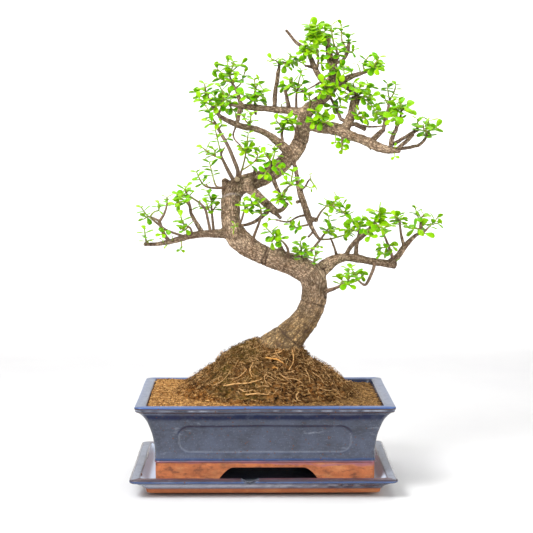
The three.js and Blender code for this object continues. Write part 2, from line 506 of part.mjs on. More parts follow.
    shoot(4, 16, [[167, 446, -59, 1.1], [174, 451, -66, 0.9], [177, 448, -72, 0.8]]),
    shoot(4, 15, [[166, 438, -56, 1.3], [159, 440, -63, 1], [156, 436, -68, 0.8]]),
    shoot(3, 14, [[167, 444, -58, 1.1], [161, 449, -52, 0.9], [160, 455, -46, 0.8]]),
  ],
  right_middle: [
    stem([[145.7, 423, -17.4, 2.6], [148.5, 438, -9, 2], [151.5, 450, -3, 1.8], [153.5, 461, 2, 1.4]]),
    shoot(4, 13, [[153.3, 459.5, 1, 1.2], [158.5, 469, -2, 0.9], [160.5, 478, -5, 0.8]]),
    shoot(3, 12, [[153.2, 459, 1, 1.1], [151, 470, 8, 0.9], [150.5, 479, 14, 0.8]]),
    shoot(2, 13, [[152, 453, -2, 1.1], [148, 460, 5, 0.8]]),
    shoot(4, 13, [[148.8, 439, -9, 1.2], [144, 441, -1, 0.9], [139, 438, 7, 0.8]]),
    shoot(3, 13, [[150.5, 446, -5, 1.1], [156, 449, 4, 0.8]]),
  ],
  stub_crown: [
    shoot(5, 16, [[112, 461, -16, 1.7], [111, 471, -20, 1.3], [109, 480, -24, 0.9]]),
    shoot(5, 16, [[112, 463.8, -16, 1.4], [121, 469, -9, 1.1], [129, 476, -2, 0.9]]),
    shoot(3, 15, [[112, 463.8, -16, 1.3], [123, 463, -24, 1], [132, 464, -31, 0.9]]),
    shoot(3, 13, [[111.5, 466, -18, 1.2], [104, 466, -27, 0.9], [99, 469, -34, 0.8]]),
    shoot(5, 13, [[117, 463.5, -20, 1.1], [128, 457, -24, 1], [139, 443, -28, 0.8]]),
    shoot(3, 15, [[113, 465, -15, 1.2], [116, 472, -33, 0.9], [119, 478, -40, 0.8]]),
  ],
  stub_side: [
    shoot(4, 14, [[108, 440.5, -21, 1.5], [114, 440, -28, 1.1], [121, 439, -36, 0.9], [126, 436, -42, 0.8]]),
    shoot(3, 12, [[114, 440, -28, 1], [117, 446, -33, 0.8]]),
  ],
  crotch_front: [
    shoot(5, 15, [[63, 435, -8, 1.5], [69, 441, -16, 1.2], [64, 447, -23, 0.8]]),
    shoot(3, 14, [[68, 440, -15, 1.1], [76, 442, -21, 0.8]]),
    shoot(3, 14, [[66, 437, -12, 1.1], [72, 433, -21, 0.9], [80, 434, -27, 0.8]]),
    shoot(2, 14, [[66, 437.5, -12, 1.1], [60, 434, -20, 0.8]]),
  ],
  inner_thin: [
    stem([[94, 437, -9, 2.2], [90, 447, -4, 2.1], [84, 458.5, 2, 1.9], [80, 465, 9, 1.5]]),
    shoot(3, 12, [[85, 457, 1, 1.1], [91, 461, -5, 0.9], [97, 462, -11, 0.8]]),
    shoot(3, 13, [[90, 448, -4, 1.1], [94, 453.5, -12, 0.8]]),
    shoot(2, 12, [[86, 454.5, 0, 1.1], [81, 449, 7, 0.8]]),
  ],
  left_of_apex_low: [
    stem([[40.5, 450.5, 6, 1.8], [40.5, 462, 3, 1.5], [41, 471, 1, 1.2]]),
    shoot(5, 15, [[41, 469, 1, 1.1], [38, 478, -4, 0.9], [32, 484, -9, 0.8]]),
    shoot(3, 14, [[41, 470, 1, 1], [46, 477, 6, 0.9], [50, 482, 11, 0.8]]),
    shoot(3, 14, [[39.5, 473, -1, 1], [32, 476, 7, 0.9], [25, 477, 14, 0.8]]),
    shoot(2, 11, [[42, 472, 2, 1], [44, 484, -3, 0.9], [47.5, 495, -8, 0.8]]),
    shoot(2, 12, [[41, 468, 1, 1], [48, 469, -7, 0.9], [54, 468, -13, 0.8]]),
  ],
  upright_top: [
    stem([[19.2, 495.5, 28.5, 2.1], [20.4, 503, 30.8, 1.4]]),
    shoot(4, 12, [[20, 499.5, 29.5, 1.7], [18, 505, 27, 1], [10, 509, 23, 0.8]]),
    shoot(5, 13, [[20, 502, 30, 1.3], [29, 505, 34, 1], [38, 507.5, 38, 0.9], [47, 504, 41, 0.8]]),
    shoot(3, 12, [[25, 503.5, 32, 1], [30, 500, 25, 0.8]]),
    shoot(3, 12, [[30, 505.3, 34, 1], [34, 512, 28, 0.8]]),
  ],
  leaning_twig: [
    shoot(4, 13, [[51, 520, 14, 1.5], [55, 522, 9, 1], [50, 527, 3, 0.8]]),
    shoot(3, 13, [[53.5, 521.2, 11, 1], [58, 519, 4, 0.8]]),
    shoot(3, 13, [[53, 521, 11.5, 1], [49, 516, 5, 0.8]]),
  ],
  apex_front: [
    stem([[76.5, 533, -9, 1.6], [70, 533.5, -13, 1.4], [62, 537.5, -18, 1.1]]),
    shoot(5, 15, [[63, 537, -17, 1.1], [59, 543, -21, 0.9], [56, 550, -25, 0.8]]),
    shoot(5, 15, [[68, 534.5, -14, 1.1], [68, 542, -21, 0.9], [65, 548, -27, 0.8]]),
    shoot(4, 15, [[64, 536.5, -17, 1.1], [61, 531, -23, 0.8]]),
    shoot(4, 14, [[70, 533.7, -13, 1.1], [74, 541, -6, 0.9], [77, 543, 0, 0.8]]),
    shoot(3, 14, [[67, 535, -15, 1.1], [68, 531, -23, 0.8]]),
    shoot(4, 14, [[62.5, 537.3, -18, 1], [61, 545, -9, 0.9], [65, 549, -1, 0.8]]),
  ],
  apex_inner: [
    stem([[66, 500, 4, 1.7], [67, 510, 0, 1.4], [64.5, 523, -5, 1]]),
    shoot(3, 11, [[64.7, 522, -5, 1], [65.5, 530, -8, 0.8]]),
    shoot(2, 11, [[67, 509.5, 0, 1.1], [64, 515, -6, 0.8]]),
    shoot(2, 12, [[66.5, 504, 2.5, 1.1], [74, 503, -6, 0.8]]),
  ],
  apex_shoot_left: [
    stem([[87, 506, -9, 2], [91, 511.5, -13, 1.6], [86, 525, -20, 1.2], [84, 533, -24, 1]]),
    shoot(4, 13, [[84.2, 532, -23.5, 1], [83, 541, -27, 0.9], [82, 549, -30, 0.8]]),
    shoot(3, 12, [[87.5, 521, -18, 1.1], [91, 525, -25, 0.8]]),
    shoot(3, 13, [[90, 514, -14, 1.1], [93, 518, -6, 0.8]]),
    shoot(3, 14, [[88.5, 509, -11, 1.1], [82, 512, -19, 0.9], [78, 517, -26, 0.8]]),
  ],
  apex_shoot_right: [
    stem([[95, 506, 9, 2.1], [99.5, 511.5, 12, 2.3], [102, 519.5, 16, 3.1], [104, 529, 20, 1.3]]),
    shoot(4, 12, [[103.8, 528, 20, 1.1], [103, 537, 25, 0.8]]),
    stem([[101, 519, 16, 1.7], [95, 531, 22, 1.1]]),
    shoot(4, 12, [[95.3, 530, 21.5, 1.1], [94.5, 541, 27, 0.9], [94, 550, 32, 0.8]]),
    shoot(3, 10, [[101, 515.5, 14.5, 1.3], [108, 517.5, 10, 0.9], [110, 520, 7, 0.8]]),
  ],
  apex_low_front: [
    shoot(4, 14, [[79, 489, -8, 1.3], [86, 494, -15, 1], [95, 501, -22, 0.8]]),
    shoot(3, 15, [[90, 497, -18, 1], [97, 496, -24, 0.9], [98, 491, -28, 0.8]]),
    shoot(3, 13, [[83, 491.5, -12, 1], [80, 497, -20, 0.8]]),
  ],
  apex_right: [
    stem([[120.6, 492.2, -21.6, 2.3], [128, 494.8, -26.5, 1.8], [134.5, 500, -32.5, 1.3]]),
    shoot(5, 14, [[133.5, 499, -32, 1.2], [137, 505, -36, 0.9], [140, 511, -40, 0.8]]),
    shoot(3, 14, [[132, 498, -31, 1.2], [130, 502, -24, 0.8]]),
    shoot(3, 14, [[134, 499.5, -33, 1.2], [139, 497, -40, 0.8]]),
    shoot(3, 11, [[123.5, 493, -25, 1.3], [121, 502, -22, 1.1], [127, 511, -18, 0.8]]),
  ],
  under_apex: [
    shoot(4, 15, [[76, 470, -7, 1.5], [76, 476, -15, 1.1], [72, 480, -22, 0.8]]),
    shoot(4, 14, [[76, 474, -12, 1.1], [85, 474, -20, 0.9], [93, 475, -27, 0.8]]),
    shoot(3, 13, [[76, 473, -11, 1.1], [80, 467, -20, 0.8]]),
    shoot(2, 12, [[76, 473.5, -12, 1.1], [68, 468, -20, 0.8]]),
  ],
  arch_near: [
    stem([[24, 411.5, 5, 1.9], [23, 418, 9, 1.8], [24.5, 425.5, 13, 1.3]]),
    shoot(5, 13, [[24.4, 424.5, 12.5, 1.2], [20, 431, 8, 0.9], [16, 435, 4, 0.8]]),
    shoot(3, 13, [[24.3, 424, 12, 1.1], [28, 431, 20, 0.8]]),
  ],
  trunk_left_thin: [
    stem([[41, 420, -6, 1.5], [37, 428, -13, 1.3], [28, 437, -22, 1]]),
    shoot(4, 13, [[29, 436, -21, 1], [31, 440, -29, 0.8]]),
    shoot(3, 12, [[35.5, 429.5, -14.5, 1], [38, 434, -22, 0.8]]),
  ],
  arch_middle: [
    shoot(4, 12, [[-16, 427.5, -26, 1.3], [-14.5, 437, -30, 0.9], [-14, 445, -34, 0.8]]),
    shoot(2, 11, [[-15.6, 430, -27, 1], [-21, 435, -33, 0.9], [-23.5, 442, -38, 0.8]]),
  ],
  upper_left_near: [
    shoot(5, 15, [[-16, 453, 23, 1.6], [-12, 462, 19, 1.2], [-9, 473, 15, 1], [-10, 484, 11, 0.8]]),
    shoot(3, 13, [[-9.2, 472, 15.5, 1], [-4, 482, 22, 0.8]]),
    shoot(4, 15, [[-11.5, 463.5, 18.5, 1.1], [-3, 466, 10, 0.9], [1, 472, 3, 0.8]]),
    shoot(4, 15, [[-13.5, 459, 20.5, 1.1], [-21, 464, 14, 0.9], [-27, 467, 8, 0.8]]),
    shoot(3, 14, [[-14, 458, 21, 1.1], [-6, 459, 27, 0.9], [-1, 459, 32, 0.8]]),
  ],
  upper_left_top: [
    stem([[-30.6, 469, 37.7, 2.4], [-37, 480, 44, 1.8], [-40.5, 491, 49, 1.1]]),
    shoot(5, 17, [[-40.3, 490, 48.5, 1.1], [-42, 498, 53, 0.9], [-42, 506, 57, 0.8]]),
    shoot(4, 15, [[-39.5, 487, 47.5, 1.1], [-37, 497, 41, 0.9], [-35, 505, 36, 0.8]]),
    shoot(2, 13, [[-40.2, 489.5, 48.3, 1], [-49, 492, 55, 0.9], [-55, 497, 60, 0.8]]),
    shoot(3, 11, [[-32.5, 473.8, 41.3, 1.3], [-26, 480, 48, 0.9], [-21.5, 493, 54, 0.8]]),
    shoot(4, 14, [[-37.2, 480.5, 44.2, 1.2], [-46, 483, 52, 0.9], [-55, 486, 59, 0.8]]),
    shoot(3, 14, [[-36, 478.5, 43.4, 1.2], [-34, 485, 34, 0.8]]),
    shoot(2, 14, [[-40.5, 491, 49, 1], [-31, 499, 60, 0.9], [-25, 503, 67, 0.8]]),
  ],
  arch_tip: [
    stem([[-51, 439.5, -38, 2.5], [-57, 447, -42, 2.1], [-63, 457, -47, 1.7], [-69, 470, -53, 1.1]]),
    shoot(5, 13, [[-68.5, 469, -52.5, 1.1], [-70, 479, -58, 0.8]]),
    shoot(3, 14, [[-66, 463, -49.5, 1.1], [-74, 464, -42, 0.9], [-80, 469, -36, 0.8]]),
    stem([[-53.5, 442.5, -39.5, 1.6], [-50.5, 449, -36, 1.4], [-47.5, 458, -40, 1.2]]),
    shoot(5, 14, [[-48, 456.5, -39.5, 1.2], [-47, 466, -45, 1], [-52, 476, -50, 0.8]]),
    shoot(4, 14, [[-48, 457, -39.5, 1.1], [-56, 462, -32, 0.9], [-61, 467, -26, 0.8]]),
    shoot(3, 14, [[-49, 453, -38, 1.1], [-57, 452, -50, 0.8]]),
    shoot(4, 13, [[-61, 453.5, -45, 1.1], [-68, 456, -56, 0.9], [-76, 461, -64, 0.8]]),
  ],
  upper_left_end: [
    stem([[-31, 452, 36, 2], [-42, 454.5, 43, 1.3]]),
    shoot(4, 15, [[-41, 454.2, 42.3, 1.2], [-37, 449, 50, 0.9], [-33, 445, 56, 0.8]]),
    shoot(4, 14, [[-41.5, 454.4, 42.6, 1.2], [-49, 457, 37, 0.9], [-55, 458, 32, 0.8]]),
    shoot(3, 14, [[-41.8, 454.5, 42.8, 1.1], [-44, 461, 52, 0.9], [-40, 466, 60, 0.8]]),
  ],
};

// The limbs of the wood, each with its number of sides
const wood = [{ course: trunk, sides: 9 }, { course: topTrunk, sides: 7 }];
for (const course of branches) {
  wood.push({ course: straightened(course, woodSlack), sides: 5 });
}
for (const course of twigs) {
  wood.push({ course: straightened(course, woodSlack), sides: course[0][3] > 2.4 ? 5 : 3 });
}

// The wood as solids; extra thickens them all round, to find what stays clear of them
const woodLimbs = (extra) => wood.map(({ course, sides }) => limb(course, sides, extra));

// A course begun on the centre line of the wood nearest to its start, so that it grows from the wood
function seated(course) {
  const start = new THREE.Vector3(...course[0]);
  const spot = new THREE.Vector3();
  let nearest = Infinity;
  let root = null;
  for (const limbOfWood of wood) {
    for (let i = 0; i < limbOfWood.course.length - 1; i += 1) {
      const from = limbOfWood.course[i];
      const to = limbOfWood.course[i + 1];
      const line = new THREE.Line3(new THREE.Vector3(...from), new THREE.Vector3(...to));
      const share = line.closestPointToPointParameter(start, true);
      line.at(share, spot);
      const away = spot.distanceTo(start) - from[3] - share * (to[3] - from[3]);
      if (away < nearest) {
        nearest = away;
        root = [spot.x, spot.y, spot.z, course[0][3]];
      }
    }
  }
  return [root, ...course];
}

// A spoon-shaped leaf: a cut outline with a full underside, its base point sunk in the stem
function leaf(base, along, face, length) {
  const across = along.clone().cross(face).normalize();
  const half = length * leafShape.width;
  const at = (far, wide, lift) => base.clone().addScaledVector(along, far * length)
    .addScaledVector(across, wide * half).addScaledVector(face, lift);
  const droop = -0.07 * length;
  const points = [at(-0.03, 0, 0), at(0.52, 0.95, 0.3), at(0.97, 0.5, droop), at(0.97, -0.5, droop)];
  points.push(at(0.52, -0.95, 0.3), at(0.6, 0, -leafThick));
  const faces = [[0, 1, 4], [1, 3, 4], [1, 2, 3]];
  for (let i = 0; i < 5; i += 1) {
    faces.push([(i + 1) % 5, i, 5]);
  }
  return toSolid(closedMesh(points, faces));
}

// Where the leaves of a shoot grow: opposite pairs, each pair a quarter turn from the last
function leavesOf(course, pairs, size, seed) {
  const centres = course.map(([x, z, depth]) => place(x, z, depth));
  const tip = centres[centres.length - 1];
  const axis = tip.clone().sub(centres[centres.length - 2]).normalize();
  const side = new THREE.Vector3(1, 0.3, 0.2);
  side.addScaledVector(axis, -side.dot(axis)).normalize();
  const other = axis.clone().cross(side);
  const leaves = [];
  for (let i = 0; i < leafCount[pairs]; i += 1) {
    const pair = Math.floor(i / 2);
    const share = chance(seed, 1) + 0.25 * pair + 0.5 * (i % 2) + 0.06 * (chance(seed, i + 2) - 0.5);
    const turn = share * 2 * Math.PI;
    const lean = leafShape.lean[Math.min(pair, 1)] + 0.3 * (chance(seed, i + 9) - 0.5);
    const out = side.clone().multiplyScalar(Math.cos(turn)).addScaledVector(other, Math.sin(turn));
    const along = axis.clone().multiplyScalar(Math.cos(lean)).addScaledVector(out, Math.sin(lean));
    const face = axis.clone();
    face.z += leafShape.skyward; // the upper side turns a little to the light
    face.addScaledVector(along, -face.dot(along)).normalize();
    const length = size * leafShape.grow[Math.min(pair, 1)] * (0.92 + 0.16 * chance(seed, i + 20));
    const base = tip.clone().addScaledVector(axis, -0.6 - pair * leafShape.step * size);
    leaves.push({ base, along, face, length });
  }
  return leaves;
}

const bonsai = new THREE.Group();

function addMesh(name, solid, material) {
  const piece = new THREE.Mesh(toGeometry(solid), material);
  piece.name = name;
  bonsai.add(piece);
  return solid;
}

// A solid with its box, for finding the few that a new piece could touch
function boxed(solid) {
  const { min, max } = solid.boundingBox();
  return { solid, box: new THREE.Box3(new THREE.Vector3(...min), new THREE.Vector3(...max)) };
}

const touching = (piece, others) => others.filter(({ box }) => box.intersectsBox(piece.box));

// Whether a solid overlaps any of the others
function crosses(piece, others) {
  for (const other of touching(piece, others)) {
    const shared = piece.solid.intersect(other.solid);
    const volume = shared.volume();
    shared.delete();
    if (volume > 1e-6) {
      return true;
    }
  }
  return false;
}

// Each spray is cut clear of the wood and the sprays before it; a leaf that would cross them is left out
function addSprays() {
  const taken = woodLimbs(gap + 0.05).map(boxed);
  let seed = 0;
  for (const [name, all] of Object.entries(sprays)) {
    const shoots = all.filter(({ pairs }) => pairs !== 2); // the smallest shoots are left out
    const courses = shoots.map(({ course }, at) => (at === 0 ? seated(course) : course));
    const parts = courses.map((course) => limb(straightened(course, shootSlack), 3));
    const reach = boxed(joinAll(parts));
    reach.box.expandByScalar(longestLeaf);
    const near = touching(reach, taken);
    for (const { pairs, size, course } of shoots) {
      seed += 1;
      for (const spot of leavesOf(course, pairs, size, seed)) {
        const room = leaf(spot.base, spot.along, spot.face, spot.length * 1.04);
        if (!crosses(boxed(room), near)) {
          parts.push(leaf(spot.base, spot.along, spot.face, spot.length));
        }
        room.delete();
      }
    }
    const clearOf = near.map((other) => other.solid);
    const body = mainBody(joinAll(parts).subtract(joinAll(clearOf)).simplify(smallest));
    addMesh(`spray_${name}`, body, foliage);
    taken.push(boxed(body));
  }
}

// Stacked rings of points, joined into one solid with flat ends
function loft(rings) {
  const count = rings[0].length;
  const faces = [];
  for (let i = 0; i < (rings.length - 1) * count; i += count) {
    for (let k = 0; k < count; k += 1) {
      const next = (k + 1) % count;
      faces.push([i + k, i + next, i + next + count], [i + k, i + next + count, i + k + count]);
    }
  }
  const last = (rings.length - 1) * count;
  for (let k = 1; k < count - 1; k += 1) {
    faces.push([0, k + 1, k], [last, last + k, last + k + 1]);
  }
  return toSolid(closedMesh(rings.flat(), faces));
}

// A rectangle with round corners, as a level ring
function roundedRing(length, width, z, radius) {
  const ring = [];
  for (const [x, y, from] of [[1, 1, 0], [-1, 1, 1], [-1, -1, 2], [1, -1, 3]]) {
    for (let i = 0; i <= 3; i += 1) {
      const turn = ((from + i / 3) * Math.PI) / 2;
      const cornerX = x * (length / 2 - radius) + radius * Math.cos(turn);
      ring.push(new THREE.Vector3(cornerX, y * (width / 2 - radius) + radius * Math.sin(turn), z));
    }
  }
  return ring;
}

// An upright outline of [x, z] points, run from one depth to another
function upright(outline, front, back) {
  const near = outline.map(([x, z]) => new THREE.Vector3(x, front, z));
  const far = outline.map(([x, z]) => new THREE.Vector3(x, back, z));
  return loft([far, near]);
}

function dripTray() {
  const ring = (length, width, z) => roundedRing(length, width, z, 8);
  const { length, width, height, floor, rim, baseLength, baseWidth, lipUnder, notch } = tray;
  const outside = loft([
    ring(baseLength, baseWidth, 0), ring(baseLength + 2, baseWidth + 2, 5),
    ring(baseLength + 12, baseWidth + 12, 9.5), ring(length - 12, width - 12, 13.6),
    ring(length - 11, width - 11, lipUnder), ring(length - 2, width - 2, lipUnder + 0.6),
    ring(length, width, lipUnder + 2), ring(length - 0.6, width - 0.6, height - 0.8),
    ring(length - 3, width - 3, height),
  ]);
  const inside = loft([
    ring(baseLength - 6, baseWidth - 6, floor), ring(baseLength, baseWidth, floor + 1.6),
    ring(length - 2 * rim - 1, width - 2 * rim - 1, height - 1),
    ring(length - 2 * rim + 2, width - 2 * rim + 2, height + 1),
  ]);
  const half = notch.width / 2 + 2;
  const vee = [[notch.at - half, height + 1.3], [notch.at, notch.low], [notch.at + half, height + 1.3]];
  return outside.subtract(inside).subtract(upright(vee, -width / 2 - 5, -baseWidth / 2 + 6));
}

// A ring of the pot that lies so far within the rim's outline
function potRing(inset, z) {
  return roundedRing(pot.length - 2 * inset, pot.width - 2 * inset, z, Math.max(9 - inset * 0.1, 4));
}

// The inside of the pot, drawn in by a clearance
function potInside(clear) {
  const rings = pot.inside.map(([z, inset]) => potRing(inset + clear, z === pot.floorTop ? z + clear : z));
  return loft(rings);
}

function glazedPot() {
  const foot = [[pot.bottom, 24], [pot.bottom + 1, 23.2], [pot.glazeEdge - 1, 23]];
  const rim = [[97.2, 2.4], [98.8, 0.8], [101.6, 0], [103.4, 0.5], [pot.top, 1.8]];
  const rings = [...foot, ...pot.flare, ...rim];
  let body = loft(rings.map(([z, inset]) => potRing(inset, z))).subtract(potInside(0));
  const under = 23 + pot.footWall;
  body = body.subtract(loft([potRing(under, 0), potRing(under, pot.floorUnder)]));
  const { arch, hole, panel } = pot;
  const archTop = pot.floorUnder - 0.5;
  const archLine = [[-arch.bottom, 5], [arch.bottom, 5], [arch.bottom, pot.bottom], [arch.top + 4, 26]];
  archLine.push([arch.top, archTop], [-arch.top, archTop], [-arch.top - 4, 26], [-arch.bottom, pot.bottom]);
  body = body.subtract(upright(archLine.map(([x, z]) => [x + arch.at, z]), -100, 100));
  for (const x of [-hole.at, hole.at]) {
    const drill = new THREE.CylinderGeometry(hole.radius, hole.radius, 30, 14).rotateX(Math.PI / 2);
    body = body.subtract(toSolid(drill.translate(x, 0, pot.floorTop)));
  }
  // the sunk panels, front and back: what lies outside the wall moved in by their depth
  const middle = (panel.left + panel.right) / 2;
  const high = (panel.low + panel.high) / 2;
  const outline = roundedRing(panel.right - panel.left, panel.high - panel.low, 0, panel.corner)
    .map(({ x, y }) => [x + middle, y + high]);
  const core = loft([[30, 23], ...pot.flare.slice(1)].map(([z, inset]) => potRing(inset + panel.sunk, z)));
  const cut = upright(outline, -120, 120).subtract(core);
  return body.subtract(cut).translate(pot.middle, 0, 0);
}

// The mound, grown by a clearance
function moundSolid(clear) {
  const count = 16;
  return loft(mound.map(([z, left, right, front, back], level) => {
    const ring = [];
    for (let k = 0; k < count; k += 1) {
      const turn = (2 * Math.PI * k) / count;
      const reachX = Math.cos(turn) > 0 ? right : left;
      const reachY = Math.sin(turn) > 0 ? back : front;
      const uneven = 1 + 0.05 * (chance(level, k) - 0.5);
      const x = moundMiddle.x + (reachX * uneven + clear) * Math.cos(turn);
      const lift = level === 0 ? -clear : level === mound.length - 1 ? clear : 0;
      ring.push(new THREE.Vector3(x, moundMiddle.y + (reachY * uneven + clear) * Math.sin(turn), z + lift));
    }
    return ring;
  }));
}

// A slab whose upper face is uneven, over the whole inside of the pot
function soilSlab() {
  const across = 8;
  const deep = 6;
  const points = [];
  const faces = [];
  for (const low of [false, true]) {
    for (let j = 0; j <= deep; j += 1) {
      for (let i = 0; i <= across; i += 1) {
        const x = (i / across - 0.5) * pot.length;
        const y = (j / deep - 0.5) * pot.width;
        const front = soil.front[0] + (soil.front[1] - soil.front[0]) * (i / across);
        const back = soil.back[0] + (soil.back[1] - soil.back[0]) * (i / across);
        const top = front + (back - front) * (j / deep) + soil.bump * (2 * chance(i, j) - 1);
        points.push(new THREE.Vector3(x, y, low ? 30 : top));
      }
    }
  }
  const row = across + 1;
  const under = row * (deep + 1);
  for (let j = 0; j < deep; j += 1) {
    for (let i = 0; i < across; i += 1) {
      const a = j * row + i;
      faces.push([a, a + 1, a + row + 1], [a, a + row + 1, a + row]);
      const b = under + a;
      faces.push([b, b + row + 1, b + 1], [b, b + row, b + row + 1]);
    }
  }
  const edge = [];
  for (let i = 0; i < across; i += 1) edge.push(i);
  for (let j = 0; j < deep; j += 1) edge.push(j * row + across);
  for (let i = across; i > 0; i -= 1) edge.push(deep * row + i);
  for (let j = deep; j > 0; j -= 1) edge.push(j * row);
  edge.forEach((a, i) => {
    const b = edge[(i + 1) % edge.length];
    faces.push([a, a + under, b + under], [a, b + under, b]);
  });
  return toSolid(closedMesh(points, faces));
}

// A square of drain mesh with square openings
function drainMeshAt(x) {
  const { side, thick, openings, strand } = drainMesh;
  const low = pot.floorTop + gap;
  const plate = (length, z0, z1, atX, atY) => toSolid(new THREE.BoxGeometry(length, length, z1 - z0)
    .translate(atX, atY, (z0 + z1) / 2));
  const opening = (side - strand * (openings + 1)) / openings;
  const holes = [];
  for (let i = 0; i < openings; i += 1) {
    for (let j = 0; j < openings; j += 1) {
      const step = opening + strand;
      const first = -side / 2 + strand + opening / 2;
      holes.push(plate(opening, low - 1, low + thick + 1, x + first + i * step, first + j * step));
    }
  }
  return plate(side, low, low + thick, x, 0).subtract(joinAll(holes));
}

// Coir round the root ball: it fills the pot, clear of the wall, the mound and the drain mesh
function pottingSoil() {
  let body = potInside(gap).intersect(soilSlab()).translate(pot.middle, 0, 0);
  body = body.subtract(moundSolid(gap + 0.05));
  for (const x of [pot.middle - pot.hole.at, pot.middle + pot.hole.at]) {
    const side = drainMesh.side + 2 * gap;
    const top = pot.floorTop + drainMesh.thick + 2 * gap;
    body = body.subtract(toSolid(new THREE.BoxGeometry(side, side, 4).translate(x, 0, top - 2)));
  }
  return mainBody(body);
}

function rootBall() {
  const foot = limb(trunk, wood[0].sides, gap + 0.05);
  return mainBody(moundSolid(0).subtract(foot));
}

addMesh("drip_tray", dripTray(), trayGlaze);
addMesh("pot", glazedPot(), glazed);
addMesh("potting_soil", pottingSoil(), coir);
addMesh("root_ball", rootBall(), fibre);
addMesh("drain_mesh_left", drainMeshAt(pot.middle - pot.hole.at), plastic);
addMesh("drain_mesh_right", drainMeshAt(pot.middle + pot.hole.at), plastic);
addMesh("trunk", joinAll(woodLimbs(0)).simplify(smallest), bark);
addSprays();

export default bonsai;
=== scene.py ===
import bpy
import math
import numpy as np
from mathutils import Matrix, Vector


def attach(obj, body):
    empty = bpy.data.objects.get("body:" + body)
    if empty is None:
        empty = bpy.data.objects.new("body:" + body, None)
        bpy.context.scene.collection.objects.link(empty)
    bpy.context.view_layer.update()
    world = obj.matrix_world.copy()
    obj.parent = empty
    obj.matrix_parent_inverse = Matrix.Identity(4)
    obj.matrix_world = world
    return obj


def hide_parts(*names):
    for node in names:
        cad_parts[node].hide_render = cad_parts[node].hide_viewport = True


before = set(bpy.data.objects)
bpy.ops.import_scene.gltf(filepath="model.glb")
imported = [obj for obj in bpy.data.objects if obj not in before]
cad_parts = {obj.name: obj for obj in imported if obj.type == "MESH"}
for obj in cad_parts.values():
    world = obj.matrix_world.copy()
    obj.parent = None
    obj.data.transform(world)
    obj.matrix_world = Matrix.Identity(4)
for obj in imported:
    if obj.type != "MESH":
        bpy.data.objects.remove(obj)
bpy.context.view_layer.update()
print("frame loaded:", len(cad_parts), "nodes")

mm = 0.001  # the shapes below are laid out in millimetres
scene = bpy.context.scene
bonsaiPieces = []

# What a user would change about the picture
view = {
    "cameraAt": (-16, -1839, 427),  # millimetres
    "tiltDown": 5.25,               # degrees
    "turnRight": 0.64,
    "focalPixels": 1517,            # focal length, in pixels of the photograph
    "photoWidth": 533,
}


def chance(a, b):
    # repeatable numbers between 0 and 1 from two numbers or arrays: the fraction of
    # 43758.5453 sin(12.9898 a + 78.233 b)
    wave = np.sin(np.asarray(a, float) * 12.9898 + np.asarray(b, float) * 78.233) * 43758.5453
    return wave - np.floor(wave)


def valueNoise(points, size, seed=0):
    # smooth noise from -1 to 1 over points (n, 3): random values at the corners of a lattice of this
    # size, mixed by 3t^2 - 2t^3 along each axis
    grid = np.asarray(points, float) / size + 31.7 * seed
    cell = np.floor(grid)
    part = grid - cell
    ease = part * part * (3 - 2 * part)
    total = np.zeros(len(grid))
    for corner in range(8):
        offset = np.array([corner & 1, corner >> 1 & 1, corner >> 2 & 1])
        at = cell + offset
        weight = np.prod(np.where(offset, ease, 1 - ease), axis=1)
        total += weight * chance(at[:, 0] + 57 * at[:, 1], at[:, 2] + 113 * seed)
    return 2 * total - 1


def layeredNoise(points, *layers):
    # smooth noise in layers, each with its height, size and seed
    return sum(height * valueNoise(points, size, seed) for height, size, seed in layers)


def noiseVectors(points, size, seed):
    # smooth noise in all three directions, from three seeds in a row
    return np.stack([valueNoise(points, size, seed + k) for k in range(3)], axis=1)


def unit(vectors):
    # vectors of length 1
    return vectors / (np.linalg.norm(vectors, axis=-1, keepdims=True) + 1e-9)


def makePiece(name, points, faces, materials, faceMaterial=None, attributes=None, smooth=True):
    # a mesh object at the origin from points in millimetres and faces as arrays of corner numbers
    mesh = bpy.data.meshes.new(name)
    rows = [face for block in faces for face in block.tolist()]
    mesh.from_pydata((np.asarray(points) * mm).tolist(), [], rows)
    for key, values in (attributes or {}).items():
        mesh.attributes.new(key, "FLOAT", "POINT").data.foreach_set("value", np.asarray(values, np.float32))
    for material in materials:
        mesh.materials.append(material)
    if faceMaterial is not None:
        mesh.polygons.foreach_set("material_index", np.asarray(faceMaterial, np.int32))
    mesh.polygons.foreach_set("use_smooth", np.full(len(mesh.polygons), smooth))
    mesh.update()
    piece = bpy.data.objects.new(name, mesh)
    scene.collection.objects.link(piece)
    bonsaiPieces.append(piece)
    return piece


def seat(piece, slot, *nodes):
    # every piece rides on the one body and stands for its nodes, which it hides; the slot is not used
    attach(piece, "root")
    if nodes:
        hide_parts(*nodes)


def gridFaces(rows, columns):
    # quads of a grid of points whose rows are closed rings, one ring after another
    start = np.arange(rows - 1)[:, None] * columns
    a = start + np.arange(columns)
    b = start + (np.arange(columns) + 1) % columns
    return np.stack([a, b, b + columns, a + columns], axis=-1).reshape(-1, 4)


def fanFaces(ring, centre, flip=False):
    # triangles from a closed ring of point numbers to one point in its middle
    after = np.roll(ring, -1)
    middle = np.full(len(ring), centre)
    return np.stack([after, ring, middle] if flip else [ring, after, middle], axis=-1)


def closedFaces(rows, columns):
    # a grid of rings with its first and last ring closed onto the two points that follow the grid
    count = rows * columns
    first, last = np.arange(columns), np.arange(count - columns, count)
    return [gridFaces(rows, columns), fanFaces(first, count, True), fanFaces(last, count + 1)]


def bump(x, middle, width):
    # a soft hump: 1 at the middle, falling away over the width
    return np.exp(-((x - middle) / width) ** 2)


def ramp(x, width):
    # 0 up to zero, then a straight rise to 1 over the width
    return np.clip(x / width, 0, 1)


def softStep(x, width):
    # 1 well below zero and 0 well above it: 1 / (1 + e^(x / width))
    return 1 / (1 + np.exp(np.clip(x / width, -30, 30)))


